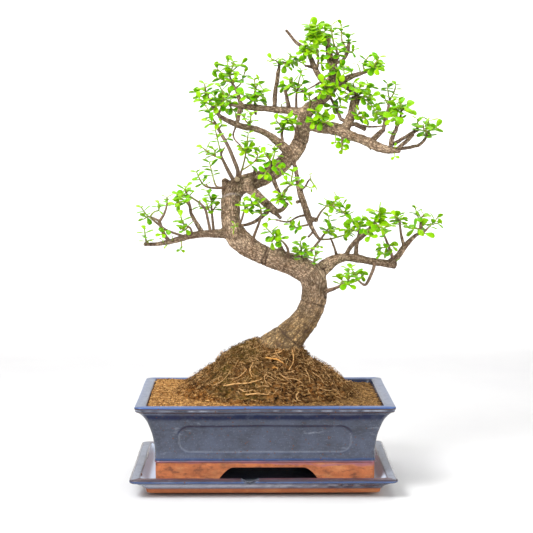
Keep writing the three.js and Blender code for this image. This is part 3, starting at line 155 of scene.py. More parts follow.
def alongSight(x, z, depth):
    # points of the trunk's plane moved along their sight lines: away from the eye by 1 + depth / distance
    eyeX, eyeY, eyeZ = view["cameraAt"]
    reach = 1 - depth / eyeY
    return eyeX + (x - eyeX) * reach, eyeZ + (z - eyeZ) * reach


def place(course):
    # a course's rows (right, up, back, radius) as points at their depths, and the radii
    x, z, depth, radii = np.asarray(course, float).T
    x, z = alongSight(x, z, depth)
    return np.stack([x, depth, z], axis=1), radii


def smoothCourse(values, steps):
    # a Catmull-Rom curve through the rows of an array: cubic pieces with matching slopes
    values = np.asarray(values, float)
    if len(values) == 2:
        share = np.linspace(0, 1, steps + 1)[:, None]
        return values[0] + (values[1] - values[0]) * share
    padded = np.vstack([2 * values[0] - values[1], values, 2 * values[-1] - values[-2]])
    t = (np.arange(steps) / steps)[None, :, None]
    p0, p1, p2, p3 = (padded[i:len(padded) - 3 + i, None, :] for i in range(4))
    curve = 0.5 * (2 * p1 + (p2 - p0) * t + (2 * p0 - 5 * p1 + 4 * p2 - p3) * t ** 2
                   + (3 * p1 - p0 - 3 * p2 + p3) * t ** 3)
    return np.vstack([curve.reshape(-1, values.shape[1]), values[-1:]])


def tube(centres, radii, sides):
    # a circle carried along a path, centre + radius (side cos t + up sin t), its frame turned as little
    # as possible, with both ends closed
    tangent = unit(np.gradient(centres, axis=0))
    side = np.zeros_like(centres)
    lead = np.cross(tangent[0], [0.31, -0.9, 0.3])
    for i, along in enumerate(tangent):
        lead = side[i] = unit(lead - along * (lead @ along))
    up = np.cross(tangent, side)
    turn = 2 * np.pi * np.arange(sides) / sides
    ring = side[:, None] * np.cos(turn)[:, None] + up[:, None] * np.sin(turn)[:, None]
    points = (centres[:, None] + radii[:, None, None] * ring).reshape(-1, 3)
    points = np.vstack([points, centres[0], centres[-1] + 0.6 * radii[-1] * tangent[-1]])
    return points, closedFaces(len(centres), sides)


def joinParts(parts):
    # many (points, faces) pairs as one, with the faces renumbered
    points = np.vstack([part[0] for part in parts])
    starts = np.cumsum([0] + [len(part[0]) for part in parts[:-1]])
    faces = [block + start for part, start in zip(parts, starts) for block in part[1]]
    return points, faces


# Shader helpers
def wire(links, *pairs):
    # joins outputs to inputs, pair by pair
    for output, target in pairs:
        links.new(output, target)


def newMaterial(name):
    # a material with its nodes, links and main shader
    material = bpy.data.materials.new(name)
    material.use_nodes = True
    nodes = material.node_tree.nodes
    return material, nodes, material.node_tree.links, nodes["Principled BSDF"]


def addNode(nodes, kind, **values):
    # a shader node with its settings and the values of its sockets
    node = nodes.new("ShaderNode" + kind)
    for key, value in values.items():
        if key in node.inputs:
            node.inputs[key].default_value = value
        else:
            setattr(node, key, value)
    return node


# The wood as courses: rows of (right, up, back, radius) in millimetres, read in the trunk's plane
trunkCourse = [
    (4, 126, 0, 31), (13, 147, 0, 27), (24, 162, 0, 22.5), (38, 177.5, 0, 17.5), (50.5, 192, 0, 15.3),
    (58.5, 206, 0, 15.2), (62.5, 219, 0, 15.4), (63.5, 234, 0, 15), (59, 247, -1, 15.2),
    (48.5, 255, -1, 14.2), (34, 261, -2, 12.8), (18, 267, -3, 12.3), (3, 271.2, -3, 11.6),
    (-10, 277.5, -4, 12), (-22, 285.5, -5, 12.8), (-32.5, 296, -6, 12.8), (-38, 309, -5, 11.6),
    (-39, 325, -4, 11), (-38.2, 341, -3, 11.4), (-32, 353.5, -1, 11.6), (-18, 360.5, 0, 10.6),
    (-2, 365.5, 1, 9.6), (12, 373.5, 2, 9.6), (24, 382.5, 3, 9.6), (36, 395, 4, 9.5), (44, 408, 5, 9.3),
    (48, 422, 5, 9.4), (50.5, 435, 4, 9.2),
]

topTrunkCourse = [
    (49, 426, 4, 8.4), (52, 444, 4, 8.6), (62, 453, 3, 7.2), (73, 461.5, 2, 6.6), (79.5, 470, 1, 7.2),
    (84, 480, 0, 7.8), (85.5, 490, -1, 6.8), (84.5, 500, -2, 5.5), (81, 510, -2, 4.4),
    (79, 521, -3, 3.7), (78, 537, -4, 3.5),
]

branchCourses = [
    # the low branch to the left, with its cut end
    [(-36, 298.5, -6, 7), (-52, 298.5, -8, 5.6), (-66, 298, -11, 4.7), (-80, 297, -14, 4.2),
        (-95, 293.5, -18, 3.9), (-110, 289.2, -22, 3.5), (-124, 286.2, -26, 2.9), (-136, 285.2, -30, 2.4),
        (-144, 285.6, -33, 2.6)],
    # the low branch to the right, with its cut end
    [(62, 243, 0, 11), (75, 257, 3, 9.4), (87, 265.5, 6, 7.2), (99, 269, 9, 5.6), (115, 267.8, 13, 5),
        (132, 264.5, 17, 4.7), (146, 262.2, 21, 4.6), (161.5, 259.6, 25, 5)],
    # the upper branch to the left
    [(53, 443, 4, 7), (38, 446, 8, 5.4), (20, 447.6, 14, 4.6), (4, 449.2, 20, 4.2), (-12, 450.8, 26, 4.2),
        (-29, 452, 32, 3.4)],
    # the long arched branch to the left, below it
    [(38, 391, 2, 8), (27, 401.5, -4, 6.2), (18, 409.3, -8, 5.2), (6, 418.4, -14, 4.2), (-9, 424.8, -20, 3.8),
        (-26, 428.2, -27, 3.7), (-40, 433.8, -33, 3.3), (-53, 440.5, -39, 2.9)],
    # the heavy branch to the right
    [(49, 432, 4, 8), (65, 427.8, -2, 7.2), (80, 426, -8, 7.4), (93, 423, -13, 7.4), (103, 418, -17, 6.2),
        (120, 412.5, -23, 5.8), (136, 404.8, -29, 5.7), (149, 400, -33, 5.4), (159, 399.2, -36, 4.6),
        (166, 398, -38, 3)],
    # the upright stub on it, cut flat
    [(97, 420, -14, 6.5), (104, 434, -14, 6), (109, 447, -15, 5.6), (112, 462.5, -16, 6)],
    # the cross branch in front of the trunk
    [(-20, 354, -6, 6.5), (-8, 346.5, -16, 5.4), (2, 336.5, -24, 5.3), (14.5, 325.5, -31, 5)],
    # the hanging leader in front, thickest in its middle
    [(37, 387, -2, 3), (40.5, 373, -11, 2.8), (42.5, 361, -15, 3.2), (45, 350, -18, 4.1), (50, 334, -21, 4.4),
        (56, 316.5, -22, 4.1), (59, 307, -22, 2.9), (65.5, 295.5, -21, 2.3), (70, 290.5, -20, 2)],
    # the thick right fork of the low branch, rising to the right edge
    [(152, 261, 22, 4.2), (164.5, 270.5, 26, 4), (171.5, 281, 30, 3.8), (179, 289.5, 34, 3),
        (186.5, 296.5, 38, 2.3)],
    # the two rising forks of the low right branch
    [(100, 270, 9, 3), (108, 283, 2, 2.9), (117, 292, -5, 3.6), (129, 302.5, -13.5, 3.3)],
    [(113.5, 268, 12, 3), (114, 282, 19, 2.7), (117, 297, 26, 2.3)],
    # the leaning twig to the left of the apex
    [(80, 474, 1, 5), (68.5, 488, 8, 3.8), (62, 500, 13, 3.6), (55.5, 514, 18, 3.2), (48.5, 522.3, 22, 2.7),
        (40, 528.5, 27, 2.3), (33, 537, 31, 2), (28, 543, 34, 1.9)],
    # right of the apex
    [(86, 484, -1, 5), (96, 483, -7, 4.4), (107, 487.8, -14, 3.4), (118, 491.3, -20, 2.6),
        (121.5, 492.5, -22, 2.4)],
    [(83, 478, 0, 5.5), (96, 478.5, -6, 4.2), (108, 469, -12, 2.4)],
]

# thin or short wood, in the same rows
twigCourses = [
    # old cut stump at the trunk's upper bend, and two knobs
    [(-45.5, 346, -4, 5), (-45.5, 363.5, -4, 4.6)],
    [(-31, 362, 0, 4.6), (-31, 364, -17, 4)],
    [(22, 276, -3, 5), (22, 283.5, -3, 3)],
    # on the low left branch
    [(-74, 299, -13, 3.2), (-79.5, 309.5, -6, 2.7), (-86, 320.5, 0, 2.3), (-87.7, 328, 3, 2.2)],
    # on the low right branch
    [(90, 268, 7, 1.9), (88, 279, 0, 1.6), (82.5, 293, -9, 1.2)],
    [(171.5, 284, 31, 2.1), (168, 298, 24, 1.8)],
    # low on the trunk, to the right
    [(70, 227, -6, 3.6), (83, 229.5, -15, 2.6), (93, 233.5, -23, 1.6), (106, 240.5, -33, 1)],
    # the cross branch's knob end, its stubs and the twig back to the trunk
    [(12, 324, -31, 3.4), (23, 327, -36, 2.9), (30, 335, -40, 2.6)],
    [(14, 325, -31, 2.9), (22, 317, -33, 2.2)],
    [(9, 328, -28, 3.2), (-4, 316.5, -22, 2.2), (-18, 309.5, -14, 1.9), (-30, 308, -6, 1.7)],
    [(29, 333, -39, 2), (22, 343, -42, 1.7), (16, 356, -38, 2.6), (10.5, 370, -33, 2.6)],
    # on the hanging leader
    [(57, 316, -22, 3.6), (66, 314.5, -27, 3)],
    [(53, 320.5, -22, 1.6), (43, 318.5, -29, 1.2), (30, 312.5, -37, 1.1), (16, 315, -45, 1)],
    [(44, 350, -18, 1.7), (50, 354, -26, 1.4), (57, 364.5, -34, 1.1)],
    [(46, 338, -20, 2.2), (41, 336.5, -25, 2)],
    [(62.3, 301.3, -21.6, 1.4), (55.5, 294, -26, 1.2)],
    # from the old stump
    [(-10, 364, -4, 2.4), (-10, 378, -10, 1.3)],
    # on the long arched branch
    [(-32, 429, -29, 1.4), (-35.5, 416, -36, 1.1), (-26, 403.5, -43, 0.9)],
    # on the upper left branch
    [(14.5, 448, 16, 3), (15, 465, 20, 2.7), (19.4, 497, 28.9, 2.3)],
    [(32, 448, 10, 2.7), (27.5, 471, 3, 2.2)],
    [(-25, 451, 31, 3.2), (-31, 470, 38, 2.5)],
    [(-26, 452, 31, 2.8), (-29, 441, 26, 2.5), (-32, 430, 20, 2.2)],
    [(-9, 448, 25, 2), (-8.5, 442, 23, 1.5)],
    # on the heavy right branch
    [(100, 427, -13, 2.6), (112, 431, -19, 2.1), (124, 427.8, -27, 1.3), (140, 427.5, -37, 1.1),
        (152, 430.5, -45, 1.1)],
    [(113, 430, -20, 2.5), (124, 424, -24, 2.3)],
    [(130, 407, -27, 4), (138, 416.5, -22, 3.5), (146, 424, -17, 2.8)],
    [(154, 401, -34, 2.9), (156.5, 413, -42, 2.6), (166, 436, -54, 1.9)],
    [(156, 406, -37, 2.4), (170, 413.5, -29, 2.3), (187.5, 424.5, -19, 2.6)],
    [(162, 400, -37, 2.5), (172, 408.5, -45, 2.3), (182, 418, -53, 2)],
    [(163, 400.5, -37, 2.3), (182, 403.5, -34, 1.9), (192, 408, -31, 1.9), (199, 417, -28, 1.6)],
    [(129, 406, -27, 1.7), (130, 400, -27, 1)],
    [(96, 417, -15, 1.8), (96, 399, -21, 1.3)],
    # at the apex
    [(60, 499, 13, 2.2), (51, 501, 8, 1.5)],
    [(74, 484, 4, 1.5), (60, 475.3, -5, 1), (46, 469.5, -13, 0.9)],
]

# Leafy shoots of each spray: pairs of leaves, length of a leaf, course of the shoot. A row without a
# radius has that of a young tip: 0.8 at the end and 0.9 before it
sprayShoots = {
    "low_left_tip": [
        (4, 12, [(-141, 286, -32, 1.4), (-142.5, 295, -34, 1), (-143.5, 304, -37)]),
    ],
    "low_left_rising": [
        (0, 0, [(-114, 289.5, -23, 2.6), (-119.5, 297, -26, 2.3), (-123.5, 307, -29, 2.2),
            (-125.5, 314, -31, 2.1)]),
        (3, 12, [(-125.5, 313, -31, 2), (-120, 321.5, -34, 1.6), (-116.5, 332, -37, 1.2),
            (-116, 343, -40, 0.9)]),
        (3, 12, [(-124.5, 313, -30, 1.8), (-133, 317.5, -28, 1.3), (-140, 320, -26, 1),
            (-147, 330, -30)]),
        (2, 11, [(-138, 319.5, -26, 1), (-144, 316, -22)]),
    ],
    "low_left_grey": [
        (0, 0, [(-96, 295, -21, 1.6), (-108, 299, -27, 1.5), (-118, 303.2, -34, 1.5),
            (-129, 311.5, -43, 1.4), (-137, 318.5, -50, 1.2)]),
        (3, 10, [(-137, 318.5, -50, 1.1), (-132, 324.5, -53, 1), (-126, 327, -56), (-126, 335, -59)]),
        (3, 11, [(-118, 303, -34, 1), (-123, 297, -41)]),
    ],
    "low_left_cut": [
        (0, 0, [(-87.5, 327.5, 3, 2), (-89.5, 336.5, 6, 1.8)]),
        (3, 14, [(-88.7, 332, 4.5, 1.5), (-94, 338, -2, 1.1), (-101, 342, -6, 0.9)]),
        (3, 15, [(-93, 337, -2, 1.1), (-100, 337, -10), (-106, 334, -15)]),
        (2, 13, [(-89.3, 335, 5.5, 1.2), (-90, 340, 12), (-96, 344, 22)]),
    ],
    "low_left_long": [
        (0, 0, [(-63.5, 300, -13, 2), (-66.5, 314.5, -20, 1.7), (-70, 328, -26, 1.6),
            (-77, 336.3, -32, 1.3)]),
        (4, 13, [(-76, 335.5, -31, 1.3), (-90, 344.8, -38, 1.1), (-94, 351, -42), (-92, 356, -46)]),
        (1, 14, [(-71, 329, -26, 1.2), (-77, 331.5, -22)]),
        (3, 12, [(-90, 344.5, -38, 1), (-96, 345, -46), (-102, 346, -53)]),
    ],
    "low_left_upright": [
        (0, 0, [(-59.5, 301, -6, 1.9), (-60.7, 313, 2, 1.7), (-62, 328, 9, 1.4), (-62, 340, 14, 1.1)]),
        (4, 13, [(-62, 338, 13, 1), (-64.5, 345, 10), (-67, 351, 7)]),
        (3, 13, [(-61.5, 322, 6, 1.2), (-66, 328, 1, 1), (-68, 335, -4)]),
        (3, 12, [(-62, 336, 12, 1), (-57, 341, 17)]),
        (2, 12, [(-61.5, 325, 7, 1.1), (-57, 331, 14)]),
    ],
    "low_left_middle": [
        (4, 13, [(-86, 298, -19, 1.5), (-88, 305, -25, 1.3), (-96, 310, -31, 1), (-99.5, 319, -36)]),
        (3, 11, [(-90, 306.5, -26, 1), (-96, 302, -33), (-98, 306, -37)]),
    ],
    "stump_low": [
        (4, 13, [(-46, 354, -8, 1.9), (-58, 353.5, -18, 1.5), (-69, 355.5, -27, 1.2), (-75, 362, -33, 1),
            (-80, 373, -38)]),
        (1, 9, [(-67, 355, -26, 1), (-68, 358.5, -30)]),
    ],
    "stump_high": [
        (4, 14, [(-46, 354, 4, 1.6), (-56, 355.5, 13, 1.3), (-60.5, 368, 22, 1), (-64.5, 385, 30)]),
    ],
    "stump_dark": [
        (0, 0, [(-36, 364, -12, 2.6), (-41, 373, -16, 2.4), (-46, 383, -21, 2), (-50.3, 394, -27, 1.5),
            (-46, 402.5, -31, 1)]),
        (4, 13, [(-48, 388, -23, 1.2), (-60, 393, -30), (-73, 402.5, -37)]),
        (3, 13, [(-57, 392, -28, 1), (-58.5, 400, -34)]),
        (4, 12, [(-50, 393, -26, 1.2), (-53, 406, -33), (-57, 423, -41)]),
    ],
    "stump_long": [
        (0, 0, [(-31, 365, 6, 2.7), (-30, 374, 8, 2.6), (-35, 388, 13, 2.5), (-42.5, 405.5, 20, 2.3),
            (-54, 425.5, 28, 2), (-58, 434, 31, 1.3)]),
        (4, 14, [(-57.5, 432, 30, 1.1), (-63, 443, 35), (-69, 453, 40)]),
        (3, 14, [(-56, 430, 29, 1.2), (-66, 435, 22)]),
        (2, 11, [(-53, 424, 27, 1.2), (-49, 431, 20)]),
        (2, 10, [(-46, 411, 22, 1.1), (-41, 414, 29)]),
    ],
    "bend_green": [
        (4, 13, [(-28, 368, -12, 1.6), (-24, 380, -18, 1.2), (-20.5, 396, -24, 1), (-17.5, 420, -32)]),
        (3, 13, [(-20.3, 398, -24), (-24, 402, -31)]),
        (3, 13, [(-20, 402, -26), (-14, 402, -20, 0.8), (-9, 400, -15, 0.7)]),
        (4, 15, [(-25.5, 375, -16, 1.1), (-15, 381.5, -26), (-8, 388, -32), (-6, 395, -36)]),
    ],
    "front_upright": [
        (0, 0, [(10.5, 369, -33.2, 2.3), (11.5, 386, -28, 1.6)]),
        (4, 15, [(11, 383, -29, 1.3), (7, 390, -34, 1), (2, 396, -39, 0.9)]),
        (3, 14, [(11.4, 385, -29, 1.2), (14, 395, -25), (14, 404, -22)]),
        (3, 13, [(11, 377, -31, 1.2), (17, 378.5, -37), (22, 377, -41)]),
        (2, 14, [(10.5, 374, -32, 1.1), (5, 374, -39), (2, 369, -43)]),
    ],
    "inner_cluster": [
        (0, 0, [(-13, 287, -12, 2), (-10, 297, -19, 1.8), (-5, 310, -29, 1.6), (-1, 322, -35, 1.3)]),
        (5, 14, [(-1.5, 321, -35, 1.2), (-3, 330, -39, 1), (-8, 340, -43)]),
        (0, 0, [(-29, 307, -14, 1.7), (-25, 317, -21, 1.4), (-21, 329, -28, 1.1), (-12, 335, -38, 1),
            (-5, 334, -40.5, 1)]),
        (3, 13, [(-21.5, 328, -28, 1), (-23, 337, -33)]),
        (3, 13, [(-13, 334.5, -37, 1), (-15, 341, -45)]),
        (2, 12, [(-20, 330, -29), (-17, 328, -36)]),
    ],
    "ring_twig": [
        (0, 0, [(25, 338.5, -46, 1.3), (24, 344.5, -48, 1.2), (30, 354, -51, 1.2),
            (36.5, 357.5, -54, 1)]),
        (4, 13, [(24, 343, -48, 1.1), (20, 347, -52)]),
        (3, 12, [(25, 339.5, -46, 1.1), (31, 339, -51)]),
        (2, 12, [(24.5, 341, -47, 1.1), (17, 338.5, -51)]),
        (4, 14, [(35, 357, -53, 1), (35, 365, -56), (36.5, 373, -59)]),
        (2, 12, [(34, 356.5, -53, 1), (29, 362, -59)]),
        (2, 13, [(36, 357.5, -54, 1), (44, 358, -60)]),
    ],
    "leader_left": [
        (4, 13, [(54, 308.5, -25, 1.4), (46, 307, -32, 1.1), (39, 305, -38), (34, 310, -43)]),
    ],
    "leader_right": [
        (0, 0, [(66, 316.5, -30, 1.5), (71, 325, -35, 1.3), (78, 332, -41, 1)]),
        (4, 13, [(77, 331, -40, 1), (85, 334, -45), (91, 342, -50)]),
        (3, 13, [(77, 331.5, -41, 1), (80, 337, -37)]),
        (2, 11, [(84, 333.5, -45), (89, 328, -40)]),
    ],
    "back_fork": [
        (0, 0, [(117, 296, 25.6, 2.1), (117, 306, 30, 1.7), (110, 312.5, 34, 1.3), (100, 322, 40, 1.1)]),
        (5, 14, [(102, 320, 39, 1.1), (95, 327, 43, 1), (90, 333, 46)]),
        (4, 13, [(115, 307, 31, 1.2), (118, 312, 36), (123, 315, 41)]),
        (3, 14, [(117, 301, 28, 1.3), (109, 302, 22, 1), (102, 303, 16)]),
        (3, 13, [(110, 312.5, 34, 1.1), (108, 316, 27), (112, 312, 20)]),
        (3, 13, [(100, 321.5, 40, 1.1), (101, 326, 50), (97, 333, 58)]),
    ],
    "low_middle": [
        (0, 0, [(55, 272, 10, 1.9), (64, 283.5, 18, 1.7), (70.5, 291.5, 25, 1.6), (79, 303, 33, 1.2)]),
        (5, 14, [(78, 301.5, 32, 1.1), (81, 308, 36), (80, 319, 40)]),
        (3, 13, [(77, 300, 31, 1.1), (82, 301, 25), (86, 303, 20)]),
        (3, 12, [(71, 291, 25, 1.3), (82, 291.5, 30, 1.1), (98, 296, 37, 1), (108, 299, 42)]),
        (1, 8, [(66, 286, 20, 1.1), (68.5, 282, 14)]),
    ],
    "trunk_top_left": [
        (0, 0, [(31, 270, -12, 1.9), (30.5, 279, -19, 1.7), (26, 286.5, -25, 1.3), (20, 291.5, -30, 1)]),
        (5, 14, [(21, 290.5, -29, 1.1), (14, 295, -33), (5, 304.5, -38)]),
        (3, 14, [(20, 291, -30, 1), (20, 295, -38)]),
        (2, 14, [(15, 294, -33, 1), (11, 288, -38)]),
    ],
    "trunk_top_middle": [
        (5, 14, [(48, 265, -9, 1.5), (47, 276, -15, 1.2), (45.5, 289, -21)]),
        (3, 13, [(47.5, 272, -13, 1.1), (52, 276, -20), (56, 280, -26)]),
        (3, 12, [(47.3, 274, -14, 1), (42, 279, -21)]),
    ],
    "fork_sprout": [
        (4, 12, [(62.5, 258, -10, 1.2), (63, 268, -15), (66, 276, -19)]),
    ],
    "low_trunk_right": [
        (0, 0, [(80, 228.7, -14, 2.5), (87, 231, -20, 2), (96, 235, -27, 1.4), (106, 240.5, -34, 1)]),
        (4, 14, [(104, 239.5, -33, 1), (105, 247, -37), (104, 256, -41)]),
        (3, 14, [(94, 234.3, -26, 1.1), (97, 240, -20), (94, 245, -15)]),
        (2, 13, [(102, 238.5, -31, 1), (105, 235, -39)]),
    ],
    "hanging_right": [
        (0, 0, [(136, 259.5, 10, 2.2), (133.5, 251.5, 6, 2.1), (126, 236, 0, 1.9), (119, 238, -5, 1.3)]),
        (4, 15, [(120, 237.8, -4, 1.4), (113, 245, -9, 1), (109, 255, -14)]),
        (3, 13, [(114, 243.5, -8, 1), (116, 250, 0), (121, 248, 6)]),
    ],
    "front_fork": [
        (0, 0, [(128.6, 302, -13.3, 2.8), (134, 309, -18, 2.2), (141, 319, -23, 1.3)]),
        (4, 15, [(139, 316.5, -21.8, 1.3), (142, 324, -27), (136, 326, -31)]),
        (3, 15, [(141, 319, -24, 1.2), (146, 323, -19)]),
        (4, 15, [(136, 312.5, -20, 1.3), (139, 309, -28, 1), (144, 305, -34)]),
        (2, 14, [(133, 308, -17, 1.3), (130, 312, -9)]),
        (3, 14, [(132, 306.5, -16, 1.3), (127, 300, -26), (131, 294, -32)]),
    ],
    "right_slant": [
        (0, 0, [(157.5, 270, 20, 2), (155, 278, 17, 1.9), (147, 298, 7, 1.3)]),
        (4, 14, [(148, 296, 8, 1.3), (147, 304, 3), (153, 308, -2)]),
        (3, 13, [(154.5, 279.5, 16, 1.2), (151, 274, 10), (144, 273, 5)]),
        (3, 13, [(153, 283, 14, 1.1), (148, 281, 20), (143, 281, 26)]),
        (2, 13, [(152.5, 284.5, 14, 1.1), (158, 283, 8)]),
    ],
    "right_upright": [
        (0, 0, [(168.2, 297, 24.5, 1.7), (166, 315, 16, 1.4)]),
        (4, 13, [(167, 309, 19, 1.5), (166, 315, 16, 1.1), (160, 320, 12)]),
        (3, 12, [(166.3, 313, 17, 1.1), (170, 317, 24)]),
        (3, 13, [(166.6, 311, 18, 1.1), (162, 315, 26), (164, 321, 32)]),
    ],
    "right_end": [
        (0, 0, [(185.8, 296.2, 37.6, 2.2), (196, 300.5, 43, 1.7), (202, 306, 47, 1.1)]),
        (4, 13, [(201, 305, 46, 1.1), (207, 311, 49), (213, 318, 52)]),
        (1, 14, [(207, 311, 49), (213, 310, 46)]),
        (1, 18, [(195, 300, 42, 1.2), (197, 298, 38, 0.9)]),
        (0, 0, [(192, 299.5, 41, 2.2), (192, 309, 46, 2), (192.5, 318, 51, 1.3)]),
        (3, 11, [(191.8, 312, 48, 1.2), (188, 320, 52), (185.5, 329, 56)]),
        (3, 13, [(192.4, 317, 50, 1.1), (196, 321, 44)]),
        (3, 15, [(192, 304, 43, 1.3), (186, 304, 36, 1), (180, 305, 30)]),
        (2, 13, [(192, 306, 44, 1.3), (197, 309, 50)]),
    ],
    "right_tip_small": [
        (4, 11, [(187.3, 425.5, -19, 1.7), (187.5, 429, -21, 1.1), (187, 437, -25)]),
    ],
    "right_tip_big": [
        (5, 16, [(198.3, 416, -28, 1.4), (198, 424, -31, 1.1), (201, 435, -36)]),
        (3, 15, [(198, 421, -30, 1.1), (205, 424, -25), (210, 427, -20)]),
        (3, 15, [(198, 420, -30, 1.1), (195, 424, -38), (194, 430, -45)]),
    ],
    "right_front": [
        (0, 0, [(164.5, 432.5, -53, 1.8), (167, 443, -58, 1.3), (167, 454, -62, 1)]),
        (5, 15, [(167, 450, -61, 1.1), (164, 460, -64)]),
        (4, 16, [(167, 446, -59, 1.1), (174, 451, -66), (177, 448, -72)]),
        (4, 15, [(166, 438, -56, 1.3), (159, 440, -63, 1), (156, 436, -68)]),
        (3, 14, [(167, 444, -58, 1.1), (161, 449, -52), (160, 455, -46)]),
    ],
    "right_middle": [
        (0, 0, [(145.7, 423, -17.4, 2.6), (148.5, 438, -9, 2), (151.5, 450, -3, 1.8),
            (153.5, 461, 2, 1.4)]),
        (4, 13, [(153.3, 459.5, 1, 1.2), (158.5, 469, -2), (160.5, 478, -5)]),
        (3, 12, [(153.2, 459, 1, 1.1), (151, 470, 8), (150.5, 479, 14)]),
        (2, 13, [(152, 453, -2, 1.1), (148, 460, 5)]),
        (4, 13, [(148.8, 439, -9, 1.2), (144, 441, -1), (139, 438, 7)]),
        (3, 13, [(150.5, 446, -5, 1.1), (156, 449, 4)]),
    ],
    "stub_crown": [
        (5, 16, [(112, 461, -16, 1.7), (111, 471, -20, 1.3), (109, 480, -24, 0.9)]),
        (5, 16, [(112, 463.8, -16, 1.4), (121, 469, -9, 1.1), (129, 476, -2, 0.9)]),
        (3, 15, [(112, 463.8, -16, 1.3), (123, 463, -24, 1), (132, 464, -31, 0.9)]),
        (3, 13, [(111.5, 466, -18, 1.2), (104, 466, -27), (99, 469, -34)]),
        (5, 13, [(117, 463.5, -20, 1.1), (128, 457, -24, 1), (139, 443, -28)]),
        (3, 15, [(113, 465, -15, 1.2), (116, 472, -33), (119, 478, -40)]),
    ],
    "stub_side": [
        (4, 14, [(108, 440.5, -21, 1.5), (114, 440, -28, 1.1), (121, 439, -36), (126, 436, -42)]),
        (3, 12, [(114, 440, -28, 1), (117, 446, -33)]),
    ],
    "crotch_front": [
        (5, 15, [(63, 435, -8, 1.5), (69, 441, -16, 1.2), (64, 447, -23)]),
        (3, 14, [(68, 440, -15, 1.1), (76, 442, -21)]),
        (3, 14, [(66, 437, -12, 1.1), (72, 433, -21), (80, 434, -27)]),
        (2, 14, [(66, 437.5, -12, 1.1), (60, 434, -20)]),
    ],
    "inner_thin": [
        (0, 0, [(94, 437, -9, 2.2), (90, 447, -4, 2.1), (84, 458.5, 2, 1.9), (80, 465, 9, 1.5)]),
        (3, 12, [(85, 457, 1, 1.1), (91, 461, -5), (97, 462, -11)]),
        (3, 13, [(90, 448, -4, 1.1), (94, 453.5, -12)]),
        (2, 12, [(86, 454.5, 0, 1.1), (81, 449, 7)]),
    ],
    "left_of_apex_low": [
        (0, 0, [(40.5, 450.5, 6, 1.8), (40.5, 462, 3, 1.5), (41, 471, 1, 1.2)]),
        (5, 15, [(41, 469, 1, 1.1), (38, 478, -4), (32, 484, -9)]),
        (3, 14, [(41, 470, 1, 1), (46, 477, 6), (50, 482, 11)]),
        (3, 14, [(39.5, 473, -1, 1), (32, 476, 7), (25, 477, 14)]),
        (2, 11, [(42, 472, 2, 1), (44, 484, -3), (47.5, 495, -8)]),
        (2, 12, [(41, 468, 1, 1), (48, 469, -7), (54, 468, -13)]),
    ],
    "upright_top": [
        (0, 0, [(19.2, 495.5, 28.5, 2.1), (20.4, 503, 30.8, 1.4)]),
        (4, 12, [(20, 499.5, 29.5, 1.7), (18, 505, 27, 1), (10, 509, 23)]),
        (5, 13, [(20, 502, 30, 1.3), (29, 505, 34, 1), (38, 507.5, 38), (47, 504, 41)]),
        (3, 12, [(25, 503.5, 32, 1), (30, 500, 25)]),
        (3, 12, [(30, 505.3, 34, 1), (34, 512, 28)]),
    ],
    "leaning_twig": [
        (4, 13, [(51, 520, 14, 1.5), (55, 522, 9, 1), (50, 527, 3)]),
        (3, 13, [(53.5, 521.2, 11, 1), (58, 519, 4)]),
        (3, 13, [(53, 521, 11.5, 1), (49, 516, 5)]),
    ],
    "apex_front": [
        (0, 0, [(76.5, 533, -9, 1.6), (70, 533.5, -13, 1.4), (62, 537.5, -18, 1.1)]),
        (5, 15, [(63, 537, -17, 1.1), (59, 543, -21), (56, 550, -25)]),
        (5, 15, [(68, 534.5, -14, 1.1), (68, 542, -21), (65, 548, -27)]),
        (4, 15, [(64, 536.5, -17, 1.1), (61, 531, -23)]),
        (4, 14, [(70, 533.7, -13, 1.1), (74, 541, -6), (77, 543, 0)]),
        (3, 14, [(67, 535, -15, 1.1), (68, 531, -23)]),
        (4, 14, [(62.5, 537.3, -18, 1), (61, 545, -9), (65, 549, -1)]),
    ],
    "apex_inner": [
        (0, 0, [(66, 500, 4, 1.7), (67, 510, 0, 1.4), (64.5, 523, -5, 1)]),
        (3, 11, [(64.7, 522, -5, 1), (65.5, 530, -8)]),
        (2, 11, [(67, 509.5, 0, 1.1), (64, 515, -6)]),
        (2, 12, [(66.5, 504, 2.5, 1.1), (74, 503, -6)]),
    ],
    "apex_shoot_left": [
        (0, 0, [(87, 506, -9, 2), (91, 511.5, -13, 1.6), (86, 525, -20, 1.2), (84, 533, -24, 1)]),
        (4, 13, [(84.2, 532, -23.5, 1), (83, 541, -27), (82, 549, -30)]),
        (3, 12, [(87.5, 521, -18, 1.1), (91, 525, -25)]),
        (3, 13, [(90, 514, -14, 1.1), (93, 518, -6)]),
        (3, 14, [(88.5, 509, -11, 1.1), (82, 512, -19), (78, 517, -26)]),
    ],
    "apex_shoot_right": [
        (0, 0, [(95, 506, 9, 2.1), (99.5, 511.5, 12, 2.3), (102, 519.5, 16, 3.1), (104, 529, 20, 1.3)]),
        (4, 12, [(103.8, 528, 20, 1.1), (103, 537, 25)]),
        (0, 0, [(101, 519, 16, 1.7), (95, 531, 22, 1.1)]),
        (4, 12, [(95.3, 530, 21.5, 1.1), (94.5, 541, 27), (94, 550, 32)]),
        (3, 10, [(101, 515.5, 14.5, 1.3), (108, 517.5, 10), (110, 520, 7)]),
    ],
    "apex_low_front": [
        (4, 14, [(79, 489, -8, 1.3), (86, 494, -15, 1), (95, 501, -22)]),
        (3, 15, [(90, 497, -18, 1), (97, 496, -24), (98, 491, -28)]),
        (3, 13, [(83, 491.5, -12, 1), (80, 497, -20)]),
    ],
    "apex_right": [
        (0, 0, [(120.6, 492.2, -21.6, 2.3), (128, 494.8, -26.5, 1.8), (134.5, 500, -32.5, 1.3)]),
        (5, 14, [(133.5, 499, -32, 1.2), (137, 505, -36), (140, 511, -40)]),
        (3, 14, [(132, 498, -31, 1.2), (130, 502, -24)]),
